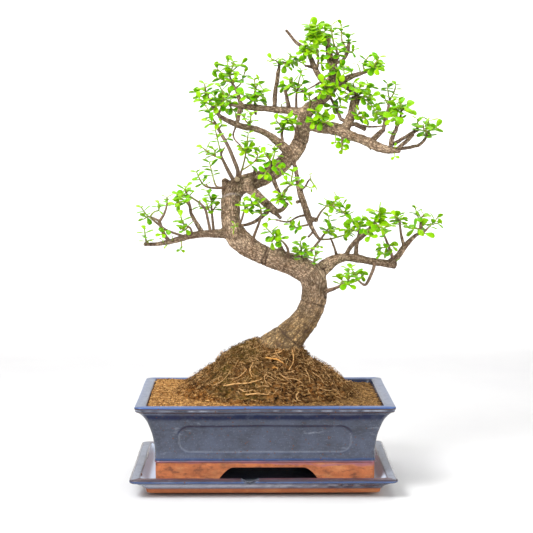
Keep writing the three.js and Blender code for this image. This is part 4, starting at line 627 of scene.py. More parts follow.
        (3, 14, [(134, 499.5, -33, 1.2), (139, 497, -40)]),
        (3, 11, [(123.5, 493, -25, 1.3), (121, 502, -22, 1.1), (127, 511, -18)]),
    ],
    "under_apex": [
        (4, 15, [(76, 470, -7, 1.5), (76, 476, -15, 1.1), (72, 480, -22)]),
        (4, 14, [(76, 474, -12, 1.1), (85, 474, -20), (93, 475, -27)]),
        (3, 13, [(76, 473, -11, 1.1), (80, 467, -20)]),
        (2, 12, [(76, 473.5, -12, 1.1), (68, 468, -20)]),
    ],
    "arch_near": [
        (0, 0, [(24, 411.5, 5, 1.9), (23, 418, 9, 1.8), (24.5, 425.5, 13, 1.3)]),
        (5, 13, [(24.4, 424.5, 12.5, 1.2), (20, 431, 8), (16, 435, 4)]),
        (3, 13, [(24.3, 424, 12, 1.1), (28, 431, 20)]),
    ],
    "trunk_left_thin": [
        (0, 0, [(41, 420, -6, 1.5), (37, 428, -13, 1.3), (28, 437, -22, 1)]),
        (4, 13, [(29, 436, -21, 1), (31, 440, -29)]),
        (3, 12, [(35.5, 429.5, -14.5, 1), (38, 434, -22)]),
    ],
    "arch_middle": [
        (4, 12, [(-16, 427.5, -26, 1.3), (-14.5, 437, -30), (-14, 445, -34)]),
        (2, 11, [(-15.6, 430, -27, 1), (-21, 435, -33), (-23.5, 442, -38)]),
    ],
    "upper_left_near": [
        (5, 15, [(-16, 453, 23, 1.6), (-12, 462, 19, 1.2), (-9, 473, 15, 1), (-10, 484, 11)]),
        (3, 13, [(-9.2, 472, 15.5, 1), (-4, 482, 22)]),
        (4, 15, [(-11.5, 463.5, 18.5, 1.1), (-3, 466, 10), (1, 472, 3)]),
        (4, 15, [(-13.5, 459, 20.5, 1.1), (-21, 464, 14), (-27, 467, 8)]),
        (3, 14, [(-14, 458, 21, 1.1), (-6, 459, 27), (-1, 459, 32)]),
    ],
    "upper_left_top": [
        (0, 0, [(-30.6, 469, 37.7, 2.4), (-37, 480, 44, 1.8), (-40.5, 491, 49, 1.1)]),
        (5, 17, [(-40.3, 490, 48.5, 1.1), (-42, 498, 53), (-42, 506, 57)]),
        (4, 15, [(-39.5, 487, 47.5, 1.1), (-37, 497, 41), (-35, 505, 36)]),
        (2, 13, [(-40.2, 489.5, 48.3, 1), (-49, 492, 55), (-55, 497, 60)]),
        (3, 11, [(-32.5, 473.8, 41.3, 1.3), (-26, 480, 48), (-21.5, 493, 54)]),
        (4, 14, [(-37.2, 480.5, 44.2, 1.2), (-46, 483, 52), (-55, 486, 59)]),
        (3, 14, [(-36, 478.5, 43.4, 1.2), (-34, 485, 34)]),
        (2, 14, [(-40.5, 491, 49, 1), (-31, 499, 60), (-25, 503, 67)]),
    ],
    "arch_tip": [
        (0, 0, [(-51, 439.5, -38, 2.5), (-57, 447, -42, 2.1), (-63, 457, -47, 1.7),
            (-69, 470, -53, 1.1)]),
        (5, 13, [(-68.5, 469, -52.5, 1.1), (-70, 479, -58)]),
        (3, 14, [(-66, 463, -49.5, 1.1), (-74, 464, -42), (-80, 469, -36)]),
        (0, 0, [(-53.5, 442.5, -39.5, 1.6), (-50.5, 449, -36, 1.4), (-47.5, 458, -40, 1.2)]),
        (5, 14, [(-48, 456.5, -39.5, 1.2), (-47, 466, -45, 1), (-52, 476, -50)]),
        (4, 14, [(-48, 457, -39.5, 1.1), (-56, 462, -32), (-61, 467, -26)]),
        (3, 14, [(-49, 453, -38, 1.1), (-57, 452, -50)]),
        (4, 13, [(-61, 453.5, -45, 1.1), (-68, 456, -56), (-76, 461, -64)]),
    ],
    "upper_left_end": [
        (0, 0, [(-31, 452, 36, 2), (-42, 454.5, 43, 1.3)]),
        (4, 15, [(-41, 454.2, 42.3, 1.2), (-37, 449, 50), (-33, 445, 56)]),
        (4, 14, [(-41.5, 454.4, 42.6, 1.2), (-49, 457, 37), (-55, 458, 32)]),
        (3, 14, [(-41.8, 454.5, 42.8, 1.1), (-44, 461, 52), (-40, 466, 60)]),
    ],
}


def startGroup(name, **numbers):
    # an empty shader node group: a vector and these numbers go in, and a mask comes out
    group = bpy.data.node_groups.new(name, "ShaderNodeTree")
    group.interface.new_socket("Vector", in_out="INPUT", socket_type="NodeSocketVector")
    for label, default in numbers.items():
        socket = group.interface.new_socket(label, in_out="INPUT", socket_type="NodeSocketFloat")
        socket.default_value = default
    group.interface.new_socket("Mask", in_out="OUTPUT", socket_type="NodeSocketFloat")
    start, end = group.nodes.new("NodeGroupInput"), group.nodes.new("NodeGroupOutput")
    return group, start.outputs, end.inputs


def makeMottle():
    # cloudy mask from noise, with a chosen contrast
    group, start, end = startGroup("mottle", Scale=100.0, Low=0.35, High=0.65)
    noise = addNode(group.nodes, "TexNoise", Detail=6.0, Roughness=0.6)
    spread = addNode(group.nodes, "MapRange")
    wire(group.links, (start["Vector"], noise.inputs["Vector"]), (start["Scale"], noise.inputs["Scale"]),
         (noise.outputs["Fac"], spread.inputs["Value"]), (start["Low"], spread.inputs["From Min"]),
         (start["High"], spread.inputs["From Max"]), (spread.outputs["Result"], end["Mask"]))
    return group


def makeSpecks():
    # small round spots: 1 at the middle of scattered cells
    group, start, end = startGroup("specks", Scale=300.0, Size=0.2)
    cells = addNode(group.nodes, "TexVoronoi", Randomness=1.0)
    below = addNode(group.nodes, "Math", operation="LESS_THAN")
    wire(group.links, (start["Vector"], cells.inputs["Vector"]), (start["Scale"], cells.inputs["Scale"]),
         (cells.outputs["Distance"], below.inputs[0]), (start["Size"], below.inputs[1]),
         (below.outputs["Value"], end["Mask"]))
    return group


def makeCracks():
    # a net of thin cracks: 0 in a crack and 1 on the plates between, on warped coordinates
    group, start, end = startGroup("cracks", Scale=200.0, Warp=0.004, Width=0.12)
    noise = addNode(group.nodes, "TexNoise", Scale=140.0, Detail=3.0)
    push = addNode(group.nodes, "VectorMath", operation="SCALE")
    add = addNode(group.nodes, "VectorMath", operation="ADD")
    cells = addNode(group.nodes, "TexVoronoi", feature="DISTANCE_TO_EDGE")
    spread = addNode(group.nodes, "MapRange")
    wire(group.links, (start["Vector"], noise.inputs["Vector"]), (noise.outputs["Color"], push.inputs[0]),
         (start["Warp"], push.inputs["Scale"]), (start["Vector"], add.inputs[0]),
         (push.outputs["Vector"], add.inputs[1]), (add.outputs["Vector"], cells.inputs["Vector"]),
         (start["Scale"], cells.inputs["Scale"]), (cells.outputs["Distance"], spread.inputs["Value"]),
         (start["Width"], spread.inputs["From Max"]), (spread.outputs["Result"], end["Mask"]))
    return group


mottle = makeMottle()
specks = makeSpecks()
cracks = makeCracks()


class Paintwork:
    # a material under construction: colours are laid over each other by masks
    def __init__(self, name, roughness=0.5):
        # an empty material of one roughness, with the object's own coordinates at hand
        self.material, self.nodes, self.links, self.shader = newMaterial(name)
        self.shader.inputs["Roughness"].default_value = roughness
        self.where = addNode(self.nodes, "TexCoord").outputs["Object"]

    def stretched(self, x, y, z, vector=None):
        # the object's own coordinates or another vector, scaled along each axis
        node = addNode(self.nodes, "Mapping", Scale=(x, y, z))
        self.links.new(vector or self.where, node.inputs["Vector"])
        return node.outputs["Vector"]

    def group(self, tree, vector, **values):
        # the mask of a shared node group, read at the object's own coordinates or at another vector
        node = self.nodes.new("ShaderNodeGroup")
        node.node_tree = tree
        for key, value in values.items():
            node.inputs[key].default_value = value
        self.links.new(vector or self.where, node.inputs["Vector"])
        return node.outputs["Mask"]

    def clouds(self, scale, low=0.35, high=0.65, vector=None):
        # soft clouds: the noise stretched from low to high
        return self.group(mottle, vector, Scale=scale, Low=low, High=high)

    def spots(self, scale, size):
        # small round spots
        return self.group(specks, None, Scale=scale, Size=size)

    def net(self, scale, width, warp, vector):
        # 0 in fine cracks and 1 between them
        return self.group(cracks, vector, Scale=scale, Width=width, Warp=warp)

    def read(self, attribute):
        # a mask that the piece carries on its points
        return addNode(self.nodes, "Attribute", attribute_name=attribute).outputs["Fac"]

    def maths(self, operation, a, b):
        # two masks or numbers worked together, kept from 0 to 1
        node = addNode(self.nodes, "Math", operation=operation, use_clamp=True)
        for socket, value in ((node.inputs[0], a), (node.inputs[1], b)):
            if isinstance(value, (int, float)):
                socket.default_value = value
            else:
                self.links.new(value, socket)
        return node.outputs["Value"]

    def times(self, a, b):
        # where both masks hold: their product
        return self.maths("MULTIPLY", a, b)

    def over(self, under, colour, mask, share=None):
        # one colour or picture of colours laid over another by a mask, or by a share of it
        node = addNode(self.nodes, "MixRGB", blend_type="MIX")
        if share:
            mask = self.times(mask, share)
        self.links.new(mask, node.inputs["Fac"])
        for socket, value in ((node.inputs["Color1"], under), (node.inputs["Color2"], colour)):
            if isinstance(value, tuple):
                socket.default_value = value + (1,)
            else:
                self.links.new(value, socket)
        return node.outputs["Color"]

    def coats(self, tint, colour, *coats):
        # coats of named colours laid on in turn, each by its mask or by a share of it
        for name, mask, *share in coats:
            colour = self.over(colour, tint[name], mask, *share)
        return colour

    def finish(self, colour, bump=None, strength=0.3, depth=0.0004, roughness=None):
        # colour, roughness and a bump that raises what is white go into the shader
        self.links.new(colour, self.shader.inputs["Base Color"])
        if roughness is not None:
            self.links.new(roughness, self.shader.inputs["Roughness"])
        if bump is not None:
            node = addNode(self.nodes, "Bump", Strength=strength, Distance=depth)
            self.links.new(bump, node.inputs["Height"])
            self.links.new(node.outputs["Normal"], self.shader.inputs["Normal"])
        return self.material


# the dark brown tint serves both burnt glaze and painted shade; the palest blue tint is painted light on the
# tray's floor and streaks
glazeColours = {
    "slate": (0.033, 0.039, 0.059), "misty": (0.066, 0.080, 0.125), "pale": (0.42, 0.455, 0.54),
    "paintedLight": (0.60, 0.70, 0.86), "navy": (0.008, 0.014, 0.052), "cobalt": (0.03, 0.11, 0.36),
    "rust": (0.09, 0.035, 0.02), "blush": (0.28, 0.11, 0.15), "burntAndShade": (0.045, 0.02, 0.018),
    "clay": (0.49, 0.15, 0.052), "clayDark": (0.27, 0.085, 0.032), "ochre": (0.56, 0.25, 0.10),
}


def stonewareGlaze(name):
    # blue-grey glaze that pools navy at edges, is painted paler on level tops as a sheen and stops above bare
    # clay; its navy and burnt masks also carry painted shade, its pale mask painted highlights and its frost
    # tint painted light
    paint = Paintwork(name, 0.22)
    tint = glazeColours
    read, clouds, spots = paint.read, paint.clouds, paint.spots
    stretched, times = paint.stretched, paint.times
    glaze = paint.coats(
        tint, tint["slate"], ("misty", clouds(38, 0.36, 0.68)),
        ("misty", clouds(330, 0.42, 0.72, stretched(0.55, 0.55, 1.3)), 0.75),   # fine flow marks
        ("pale", clouds(75, 0.62, 0.74, stretched(0.5, 0.5, 1.8)), 0.3),        # smears
        ("pale", spots(330, 0.2), 0.08),
        # pale: painted sheen on level tops and painted highlights on edges and the tray's slope, besides pale
        # streaks and the tray's pale floor
        ("pale", times(read("pale"), clouds(120, 0.1, 0.5))),
        # navy: glaze pooled at edges and in bands, and painted shade under the pot, inside its wall and on
        # the tray floor beneath it
        ("navy", times(read("poolAndShade"), clouds(90, 0.2, 0.5))),
        ("cobalt", read("cobalt"), 0.9),
        ("burntAndShade", spots(480, 0.22), 0.4),
        ("rust", times(spots(170, 0.17), clouds(60))),
        # burnt: dark glaze lines and painted shade; frost: a pale tint over the tray floor and streaks as
        # painted light
        ("burntAndShade", read("burntAndShade")), ("paintedLight", read("paintedLight")))
    baked = times(paint.maths("ADD", 0.4, read("sooty")), clouds(70, 0.38, 0.66))
    clay = paint.coats(
        tint, tint["clay"], ("clayDark", baked),
        ("ochre", clouds(85, 0.5, 0.66, stretched(0.5, 0.5, 1.6)), 0.5),
        ("burntAndShade", times(clouds(150, 0.52, 0.66, stretched(0.6, 0.6, 1.4)), read("sooty"))),   # smudges
        ("burntAndShade", spots(420, 0.16), 0.35))                                                    # grit
    bare = read("bare")
    streaked = clouds(130, 0.25, 0.6, stretched(0.4, 0.4, 2.5))
    colour = paint.over(glaze, clay, bare)
    colour = paint.over(colour, tint["blush"], times(read("blush"), streaked))
    dull = paint.maths("MAXIMUM", bare, read("dull"))
    roughness = paint.maths("ADD", 0.27, times(dull, 0.6))
    return paint.finish(colour, clouds(240, 0.2, 0.8), 0.25, 0.0003, roughness)


barkColours = {
    "deep": (0.34, 0.215, 0.13), "sand": (0.74, 0.53, 0.36),         # the upper limbs
    "lowDeep": (0.27, 0.145, 0.05), "lowSand": (0.72, 0.48, 0.22),   # the foot of the trunk
    "patch": (0.105, 0.066, 0.038), "twig": (0.12, 0.075, 0.055), "moss": (0.07, 0.052, 0.024),
    "fissure": (0.06, 0.036, 0.018), "crack": (0.06, 0.036, 0.02), "fleck": (0.80, 0.62, 0.43),
    "ridge": (0.42, 0.36, 0.33), "hollow": (0.06, 0.038, 0.025), "cut": (0.36, 0.27, 0.17),
}


def grownBark():
    # grey-brown bark: fine cracks that run along the limb, dark wrinkles round it, flecks and pale dust, and
    # painted shade in its hollows
    paint = Paintwork("bark", 0.85)
    paint.shader.inputs["Specular IOR Level"].default_value = 0.15
    tint = barkColours
    read, clouds, times = paint.read, paint.clouds, paint.times
    limb = addNode(paint.nodes, "Attribute", attribute_name="limb").outputs["Vector"]
    alongGrain, roundLimb, longGrain = (
        paint.stretched(*scale, limb) for scale in ((1, 1, 0.4), (0.3, 0.3, 1.5), (1, 1, 0.14)))
    low = read("low")
    upper = paint.over(tint["deep"], tint["sand"], clouds(75, 0.35, 0.65))
    lower = paint.over(tint["lowDeep"], tint["lowSand"], clouds(120, 0.38, 0.6))
    fissures = paint.net(150, 0.22, 0.0015, longGrain)
    fissures = times(paint.maths("SUBTRACT", 1.0, fissures), low)
    colour = paint.coats(
        tint, paint.over(upper, lower, low), ("patch", clouds(45, 0.56, 0.8)),
        ("twig", times(read("slender"), clouds(160, 0.22, 0.52)), 0.9),
        ("moss", times(read("stain"), clouds(140, 0.3, 0.55)), 0.85),
        ("fissure", fissures, 0.8))
    grain = paint.net(430, 0.2, 0.0012, alongGrain)
    rings = paint.net(230, 0.12, 0.0015, roundLimb)
    plates = times(grain, paint.maths("MAXIMUM", rings, clouds(70, 0.42, 0.58)))
    colour = paint.over(tint["crack"], colour, paint.maths("MAXIMUM", plates, 0.26))
    flecks = clouds(560, 0.5, 0.74, alongGrain)
    fleckShare = paint.maths("SUBTRACT", 0.58, times(low, 0.45))
    colour = paint.coats(
        tint, colour, ("fleck", times(flecks, fleckShare)), ("ridge", read("ridge"), 0.7),
        # hollow: painted shade in the wrinkle troughs and knot pits, darkened ring scars and a dark ring
        # round each cut end
        ("hollow", read("hollow")), ("cut", read("cut"), 0.8))
    relief = paint.maths("ADD", paint.maths("SUBTRACT", plates, fissures), times(flecks, 0.4))
    return paint.finish(colour, relief, 0.8, 0.0008)


foliageColours = {
    "tip": (0.25, 0.40, 0.02), "red": (0.30, 0.12, 0.03), "brown": (0.24, 0.15, 0.09),
    "darkBrown": (0.09, 0.053, 0.032),
    "leaf": (0.065, 0.33, 0.001), "brightLeaf": (0.30, 0.55, 0.003), "rim": (0.50, 0.68, 0.02),
    "leafCloud": (0.11, 0.37, 0.002),
}


def shootSkin():
    # shoots: green at the tip, then reddish, then thin brown bark
    paint = Paintwork("shootSkin", 0.55)
    tint = foliageColours
    young = paint.over(tint["tip"], tint["red"], paint.clouds(80, 0.45, 0.7))
    barky = paint.over(tint["brown"], tint["darkBrown"], paint.clouds(300))
    colour = paint.over(young, barky, paint.read("age"))
    return paint.finish(colour, paint.clouds(600), 0.2, 0.0003)


def succulentLeaf():
    # glossy leaf: each its own green, paler at the rim, with faint mottling
    paint = Paintwork("leaf", 0.3)
    paint.shader.inputs["Specular IOR Level"].default_value = 0.13
    tint = foliageColours
    soft = paint.clouds(220, 0.4, 0.75)
    colour = paint.coats(
        tint, tint["leaf"], ("brightLeaf", paint.read("tone")), ("rim", paint.read("rim"), 0.6),
        ("leafCloud", soft, 0.35))
    return paint.finish(colour, soft, 0.12, 0.0002)


groundColours = {
    "coir": (0.33, 0.14, 0.034), "coirDark": (0.05, 0.018, 0.005), "coirDust": (0.085, 0.042, 0.014),
    "coirStraw": (0.70, 0.40, 0.14),
    "peat": (0.012, 0.005, 0.002), "peatBrown": (0.25, 0.105, 0.028), "straw": (0.82, 0.50, 0.22),
    "moss": (0.13, 0.11, 0.02), "amber": (0.75, 0.30, 0.035),
    "coirOnPeat": (0.36, 0.155, 0.04), "coirOnPeatDark": (0.05, 0.02, 0.006),
}


def looseCoir():
    # coir and its crumbs: every crumb its own brown
    paint = Paintwork("coir", 0.95)
    paint.shader.inputs["Specular IOR Level"].default_value = 0.15
    tint = groundColours
    colour = paint.coats(
        tint, tint["coir"], ("coirDark", paint.clouds(320, 0.38, 0.6)), ("coirDust", paint.read("peat")),
        ("coirStraw", paint.read("tone")))
    return paint.finish(colour, paint.clouds(520, 0.3, 0.7), 0.9, 0.0012)


def rootPeat():
    # the old root ball: dark peat, straw and orange roots, a moss-green cast on its left, coir at its foot
    paint = Paintwork("rootPeat", 0.95)
    paint.shader.inputs["Specular IOR Level"].default_value = 0.05
    tint = groundColours
    read, clouds = paint.read, paint.clouds
    colour = paint.coats(
        tint, tint["peat"], ("peatBrown", clouds(250, 0.42, 0.62)), ("straw", read("tone")),
        ("moss", read("moss"), 0.4), ("amber", read("amber")))
    coir = paint.over(tint["coirOnPeat"], tint["coirOnPeatDark"], clouds(320, 0.38, 0.6))
    colour = paint.over(colour, coir, read("coir"))
    return paint.finish(colour, clouds(420, 0.3, 0.7), 0.9, 0.0012)


def mouldedMesh():
    # black plastic mesh, slightly grained
    paint = Paintwork("mouldedMesh", 0.5)
    grain = paint.clouds(900)
    return paint.finish(paint.over((0.012, 0.013, 0.014), (0.03, 0.032, 0.034), grain), grain, 0.1, 0.0002)


potGlaze = stonewareGlaze("potGlaze")
barkSkin = grownBark()
shootMaterial = shootSkin()
leafMaterial = succulentLeaf()
coirMaterial = looseCoir()
peatMaterial = rootPeat()
meshMaterial = mouldedMesh()
print("materials made")


# Rounded rectangles: the same ring of points serves every profile of the pot and the tray
def makeOutline(perLong, perShort, perCorner):
    # corner shares (ax, ay) and outward directions (ux, uy) of the points round a rounded rectangle
    corners = np.array([(1, 1), (-1, 1), (-1, -1), (1, -1)], float)
    shares, ways = [], []
    for quarter in range(4):
        here, then = corners[quarter], corners[(quarter + 1) % 4]
        turn = np.linspace(0, np.pi / 2, perCorner) + quarter * np.pi / 2
        shares.append(np.tile(here, (perCorner, 1)))
        ways.append(np.stack([np.cos(turn), np.sin(turn)], axis=1))
        count = perShort if quarter % 2 else perLong
        run = (np.arange(1, count) / count)[:, None]
        shares.append(here + (then - here) * run)
        ways.append(np.tile([np.cos(turn[-1]), np.sin(turn[-1])], (count - 1, 1)))
    shares, ways = np.vstack(shares), np.vstack(ways)
    return shares[:, 0], shares[:, 1], ways[:, 0], ways[:, 1]


def shellOf(profile, size, outline, corner):
    # a closed shell: each profile point (inset, z) is a rounded rectangle drawn in from the size, with
    # a level patch across the first and the last ring
    ax, ay, ux, uy = outline
    inset, z = profile[:, 0, None], profile[:, 1, None]
    halfX, halfY = size[0] / 2 - inset, size[1] / 2 - inset
    radius = np.clip(corner - 0.15 * inset, 3, None)
    x = ax * (halfX - radius) + ux * radius
    y = ay * (halfY - radius) + uy * radius
    points = np.stack([x, y, np.broadcast_to(z, x.shape)], axis=-1).reshape(-1, 3)
    points = np.vstack([points, [0, 0, profile[0, 1]], [0, 0, profile[-1, 1]]])
    return points, closedFaces(*x.shape)


def finerProfile(points, longest):
    # extra points on the straight stretches of a profile, none further apart than longest
    rows = [np.asarray(points[0], float)[None]]
    for a, b in zip(points[:-1], points[1:]):
        count = max(1, math.ceil(math.dist(a, b) / longest))
        share = (np.arange(count) + 1)[:, None] / count
        rows.append(np.asarray(a) + (np.asarray(b) - np.asarray(a)) * share)
    return np.vstack(rows)


pot = {
    "size": (304, 217), "corner": 9, "middle": 2,
    "bottom": 9.3, "floorUnder": 29, "floorTop": 37, "footInside": 37, "footTop": 34.2,
    "archAt": 4, "archTop": 42, "archBottom": 62, "archHigh": 28.5,  # the opening between the feet
    "panel": (-102, 102, 46, 79), "panelRound": 14, "panelSunk": 1.2,
    "holeRadius": 11, "holeAt": 62, "uneven": 0.35,
}
# the pot's outside and inside, as (distance drawn in, height), from the foot up and from the rim down
potOutside = [
    (24, 9.3), (23.2, 10.3), (23, 22), (23, 34.2), (22.7, 35), (21.8, 35.4), (21.7, 36.2), (22.3, 37.6),
    (22.5, 42), (22.5, 49), (21.5, 58), (19.4, 68.5), (16, 78.5), (12.5, 86.5), (8, 92.5), (4.6, 95.8),
    (3.5, 96.7), (1.9, 97.2), (0.9, 98.3), (1.2, 99.1), (0.5, 100), (0, 101.4), (0.1, 102.6),
    (0.8, 103.6), (1.9, 104),
]
potInside = [
    (11, 104), (12.2, 103.6), (13, 102.4), (15.5, 95), (22, 87), (26.5, 78.5), (31, 62), (33, 45),
    (34, 37),
]
# bands of the pot's glaze: height and how far each fades, in millimetres; the foot band is partly painted
# shade
potBands = {
    "clay": (35.2, 0.35), "blush": (31.8, 1.5), "foot": (9.5, 2.5), "footLine": (35.9, 0.45),
    "footRoll": (38.0, 1.5), "footCobalt": (38.6, 0.6), "shoulder": (90.6, 3.2), "underRim": (95, 1.0),
    "rimGroove": (97.6, 0.9), "rimPale": (99.9, 0.7), "rimBurnt": (101.8, 0.6), "rimNavy": (103.0, 0.8),
    "rimCobalt": (103.2, 0.55), "rimTop": (103.5, 0.4),
}


def panelEdge(x, z):
    # signed distance in millimetres to the panel's outline, a rectangle with round corners: below 0 inside
    left, right, low, high = pot["panel"]
    corner = pot["panelRound"]
    dx = np.abs(x - (left + right) / 2) - (right - left) / 2 + corner
    dz = np.abs(z - (low + high) / 2) - (high - low) / 2 + corner
    return np.hypot(np.maximum(dx, 0), np.maximum(dz, 0)) + np.minimum(np.maximum(dx, dz), 0) - corner


def potProfiles():
    # the profile in three parts: under the foot and floor, outside, inside
    foot, bottom, ceiling = pot["footInside"], pot["bottom"], pot["floorUnder"]
    under = [(foot + 45, ceiling), (foot + 1.5, ceiling), (foot, ceiling - 1.5), (foot, bottom + 1),
             (foot - 1, bottom)]
    outside = finerProfile(potOutside[:4], 1.6)[:-1].tolist() + smoothCourse(potOutside[3:], 4).tolist()
    inside = potInside + [(78, pot["floorTop"])]
    return finerProfile(under, 6), finerProfile(outside, 1.5), finerProfile(inside, 6)


def raisedArch(x, y, z, ceiling):
    # the foot's height is squeezed up to the arch at the front and back, below a ceiling
    away = np.abs(x - pot["archAt"])
    share = ramp(away - pot["archTop"], pot["archBottom"] - pot["archTop"])
    archZ = pot["archHigh"] + (pot["bottom"] - pot["archHigh"]) * share ** 1.6
    squeezed = archZ + (z - pot["bottom"]) * (ceiling - archZ) / (ceiling - pot["bottom"])
    atFoot = (z < ceiling) & (np.abs(y) > 60) & (away < pot["archBottom"])
    return np.where(atFoot, squeezed, z)


def bandReader(bands, z):
    # a reader of glaze bands: the named hump over the heights, shifted or widened
    def band(name, shift=0, wider=0):
        # the hump of one band's height and fade
        height, fade = bands[name]
        return bump(z, height + shift, fade + wider)
    return band


def potMasks(x, y, z, part, edge, facing, points):
    # where the pot's clay is bare and its glaze pools, burns, pales or turns cobalt, and where shade and
    # highlights are painted into its glaze
    outer = part == 1
    wobble = 1.2 * valueNoise(points * [1, 1, 0], 22, 4)
    drip = valueNoise(points * [1, 1, 0], 7, 9)
    band = bandReader(potBands, z)
    clayTop, clayFade = potBands["clay"]
    bare = softStep(z - clayTop - 0.4 * wobble, clayFade)
    blushLow, blushFade = potBands["blush"]
    low = blushLow - 1.8 * np.clip(x / 60, -1, 1) - 1.2 * wobble - 0.6 * drip
    blush = ramp(z - low, blushFade) * ramp(37 - z, 1.2)
    top = ramp(z - potBands["rimTop"][0], potBands["rimTop"][1])
    sideRim = np.abs(x) > pot["size"][0] / 2 - pot["size"][1] / 2 + np.abs(y)
    cornerEdge = bump(np.abs(x) / (pot["size"][0] / 2), 1, 0.02) * (np.abs(y) > 80)
    # pool: navy pooled along each panel's outline, darkest on its top edge as painted shade, and navy glaze
    # bands
    poolAndShade = np.maximum.reduce([
        0.95 * bump(edge, 0.4, 0.8) * facing * np.clip((z - 66) / 6, 0.12, 1),
        np.clip(1.25 * band("shoulder", wobble, 0.8 * drip), 0, 0.95) * outer,
        0.75 * band("rimNavy"), 0.9 * band("footRoll", 0.4 * wobble) * outer])
    # painted shade: the underside, seen through the arch, and the inner wall below the rim are painted navy
    poolAndShade = np.where((part == 0) | ((part == 2) & (z < 103.3)), 0.9, poolAndShade)
    poolAndShade = np.maximum(poolAndShade, 0.8 * band("footLine", 0.25 * wobble) * outer * (drip > -0.3))
    # burnt: dark glaze lines under the rim, a darker band at the foot's bottom that is partly dirt and partly
    # painted shade, and a painted shadow line along each panel's top edge
    burntAndShade = np.maximum.reduce([
        (0.95 * band("rimGroove") + 0.9 * band("rimBurnt", 0.3 * drip)) * outer, 0.45 * band("foot") * outer,
        0.85 * bump(edge, 0.2, 0.5) * facing * ramp(z - 72, 5)])
    # bead: a pale line just inside each panel's lower outline as a painted highlight, and a pale line under
    # the rim
    bead = 0.3 * bump(edge, -1.2, 0.8) * facing * (z < 70) + 0.28 * band("underRim") * outer
    # pale: level rim tops painted paler as a sheen, pale corners, the bead's painted highlight and a pale
    # streak round the rim
    pale = np.maximum.reduce([
        top * np.where(sideRim, 0.42, 0.12), 0.25 * cornerEdge, 0.7 * bead,
        0.95 * band("rimPale") * outer * np.clip(0.35 + 1.2 * drip, 0, 1)])
    cobalt = np.maximum.reduce([
        0.9 * band("rimCobalt") * outer, 0.5 * band("footCobalt", 0.5 * wobble) * outer,
        0.6 * top * ~sideRim])
    return {"bare": np.where(part == 0, bare * (z < 28), bare * (part < 2)), "blush": blush * outer,
            "poolAndShade": poolAndShade, "burntAndShade": burntAndShade, "pale": pale, "dull": np.maximum(part == 0, 0.45 * top),
            "cobalt": cobalt, "sooty": np.full(len(z), 0.6)}


def buildPot():
    # one closed shell round a profile, with the arch, the sunk panels and the drain holes worked in
    outline = makeOutline(170, 90, 9)
    profiles = potProfiles()
    points, faces = shellOf(np.vstack(profiles), pot["size"], outline, pot["corner"])
    sizes = [len(profile) * len(outline[0]) for profile in profiles]
    part = np.concatenate([np.repeat([0, 1, 2], sizes), [0, 2]])
    outer = part == 1
    x, y, z = points.T
    z = raisedArch(x, y, z, np.where(outer, pot["footTop"], pot["floorUnder"]))
    # the sunk panels, front and back
    edge = panelEdge(x, z)
    facing = outer & (np.abs(y) > 80) & (z > 40) & (z < 92)
    y = np.where(facing, y - np.sign(y) * pot["panelSunk"] * softStep(edge, 0.6), y)
    points = np.stack([x, y, z], axis=1)
    # hand-made unevenness under the glaze
    points += pot["uneven"] * noiseVectors(points, 45, 1) * (outer & (z > 40))[:, None]
    masks = potMasks(x, y, z, part, edge, facing, points)
    points[:, 0] += pot["middle"]
    piece = makePiece("glazedPot", points, faces, [potGlaze], attributes=masks)
    drillHoles(piece)
    seat(piece, "pot_glaze", "pot")


def drillHoles(piece):
    # two drain holes cut through the floor
    turn = 2 * np.pi * np.arange(32) / 32
    hole = pot["holeRadius"] * np.stack([np.cos(turn), np.sin(turn)], axis=1)
    for side in (-1, 1):
        cutAway(piece, hole + [pot["middle"] + side * pot["holeAt"], 0],
                lambda spots, z: np.column_stack([spots, np.full(len(spots), z)]), (20, 45))


def cutAway(piece, outline, lay, ends):
    # a prism between two ends of a closed outline is taken out of a piece
    count = len(outline)
    points = np.vstack([lay(outline, end) for end in ends])
    points = np.vstack([points, points[:count].mean(axis=0), points[count:].mean(axis=0)])
    knife = makePiece("knife", points, closedFaces(2, count), [])
    cut = piece.modifiers.new("cut", "BOOLEAN")
    cut.operation, cut.solver, cut.object = "DIFFERENCE", "EXACT", knife
    settle(piece)
    dropPiece(knife)


def dropPiece(piece):
    # a helper shape goes once it has done its work
    bonsaiPieces.remove(piece)
    bpy.data.objects.remove(piece)


def settle(piece):
    # the modifiers' result becomes the piece's own mesh
    shaped = bpy.data.meshes.new_from_object(piece.evaluated_get(bpy.context.evaluated_depsgraph_get()))
    piece.modifiers.clear()
    piece.data = shaped


tray = {
    "size": (313, 225), "corner": 8, "uneven": 0.3,
    "notchAt": -16, "notchWide": 24, "notchLow": 13.1, "notchTop": 20.9,
}
# from the underside up over the rim and down to the floor, as (distance drawn in, height)
trayProfile = [
    (62, 0), (21, 0), (19.5, 0.8), (18.8, 4.6), (17.6, 6), (13.5, 9.5), (6.2, 13.4), (5.5, 14.4),
    (1.6, 15), (0.4, 15.9), (0, 17), (0.2, 18.4), (1, 19.3), (2, 19.6), (10.8, 19.6), (12, 19.1),
    (13, 18), (18.5, 11.2), (20.4, 9.6), (22.5, 9), (80, 9),
]
# bands of the tray's glaze: height and how far each fades, in millimetres; the slope band is a painted
# highlight
trayBands = {
    "slopePale": (10.5, 3.6), "slopeNavy": (13.6, 0.7), "lipUnder": (15.4, 0.9),
    "lipBlush": (16.0, 1.0), "lipCobalt": (16.9, 0.9), "lipNavy": (17.0, 1.2), "lipPale": (17.6, 0.45),
    "rimBurnt": (18.9, 0.8),
}


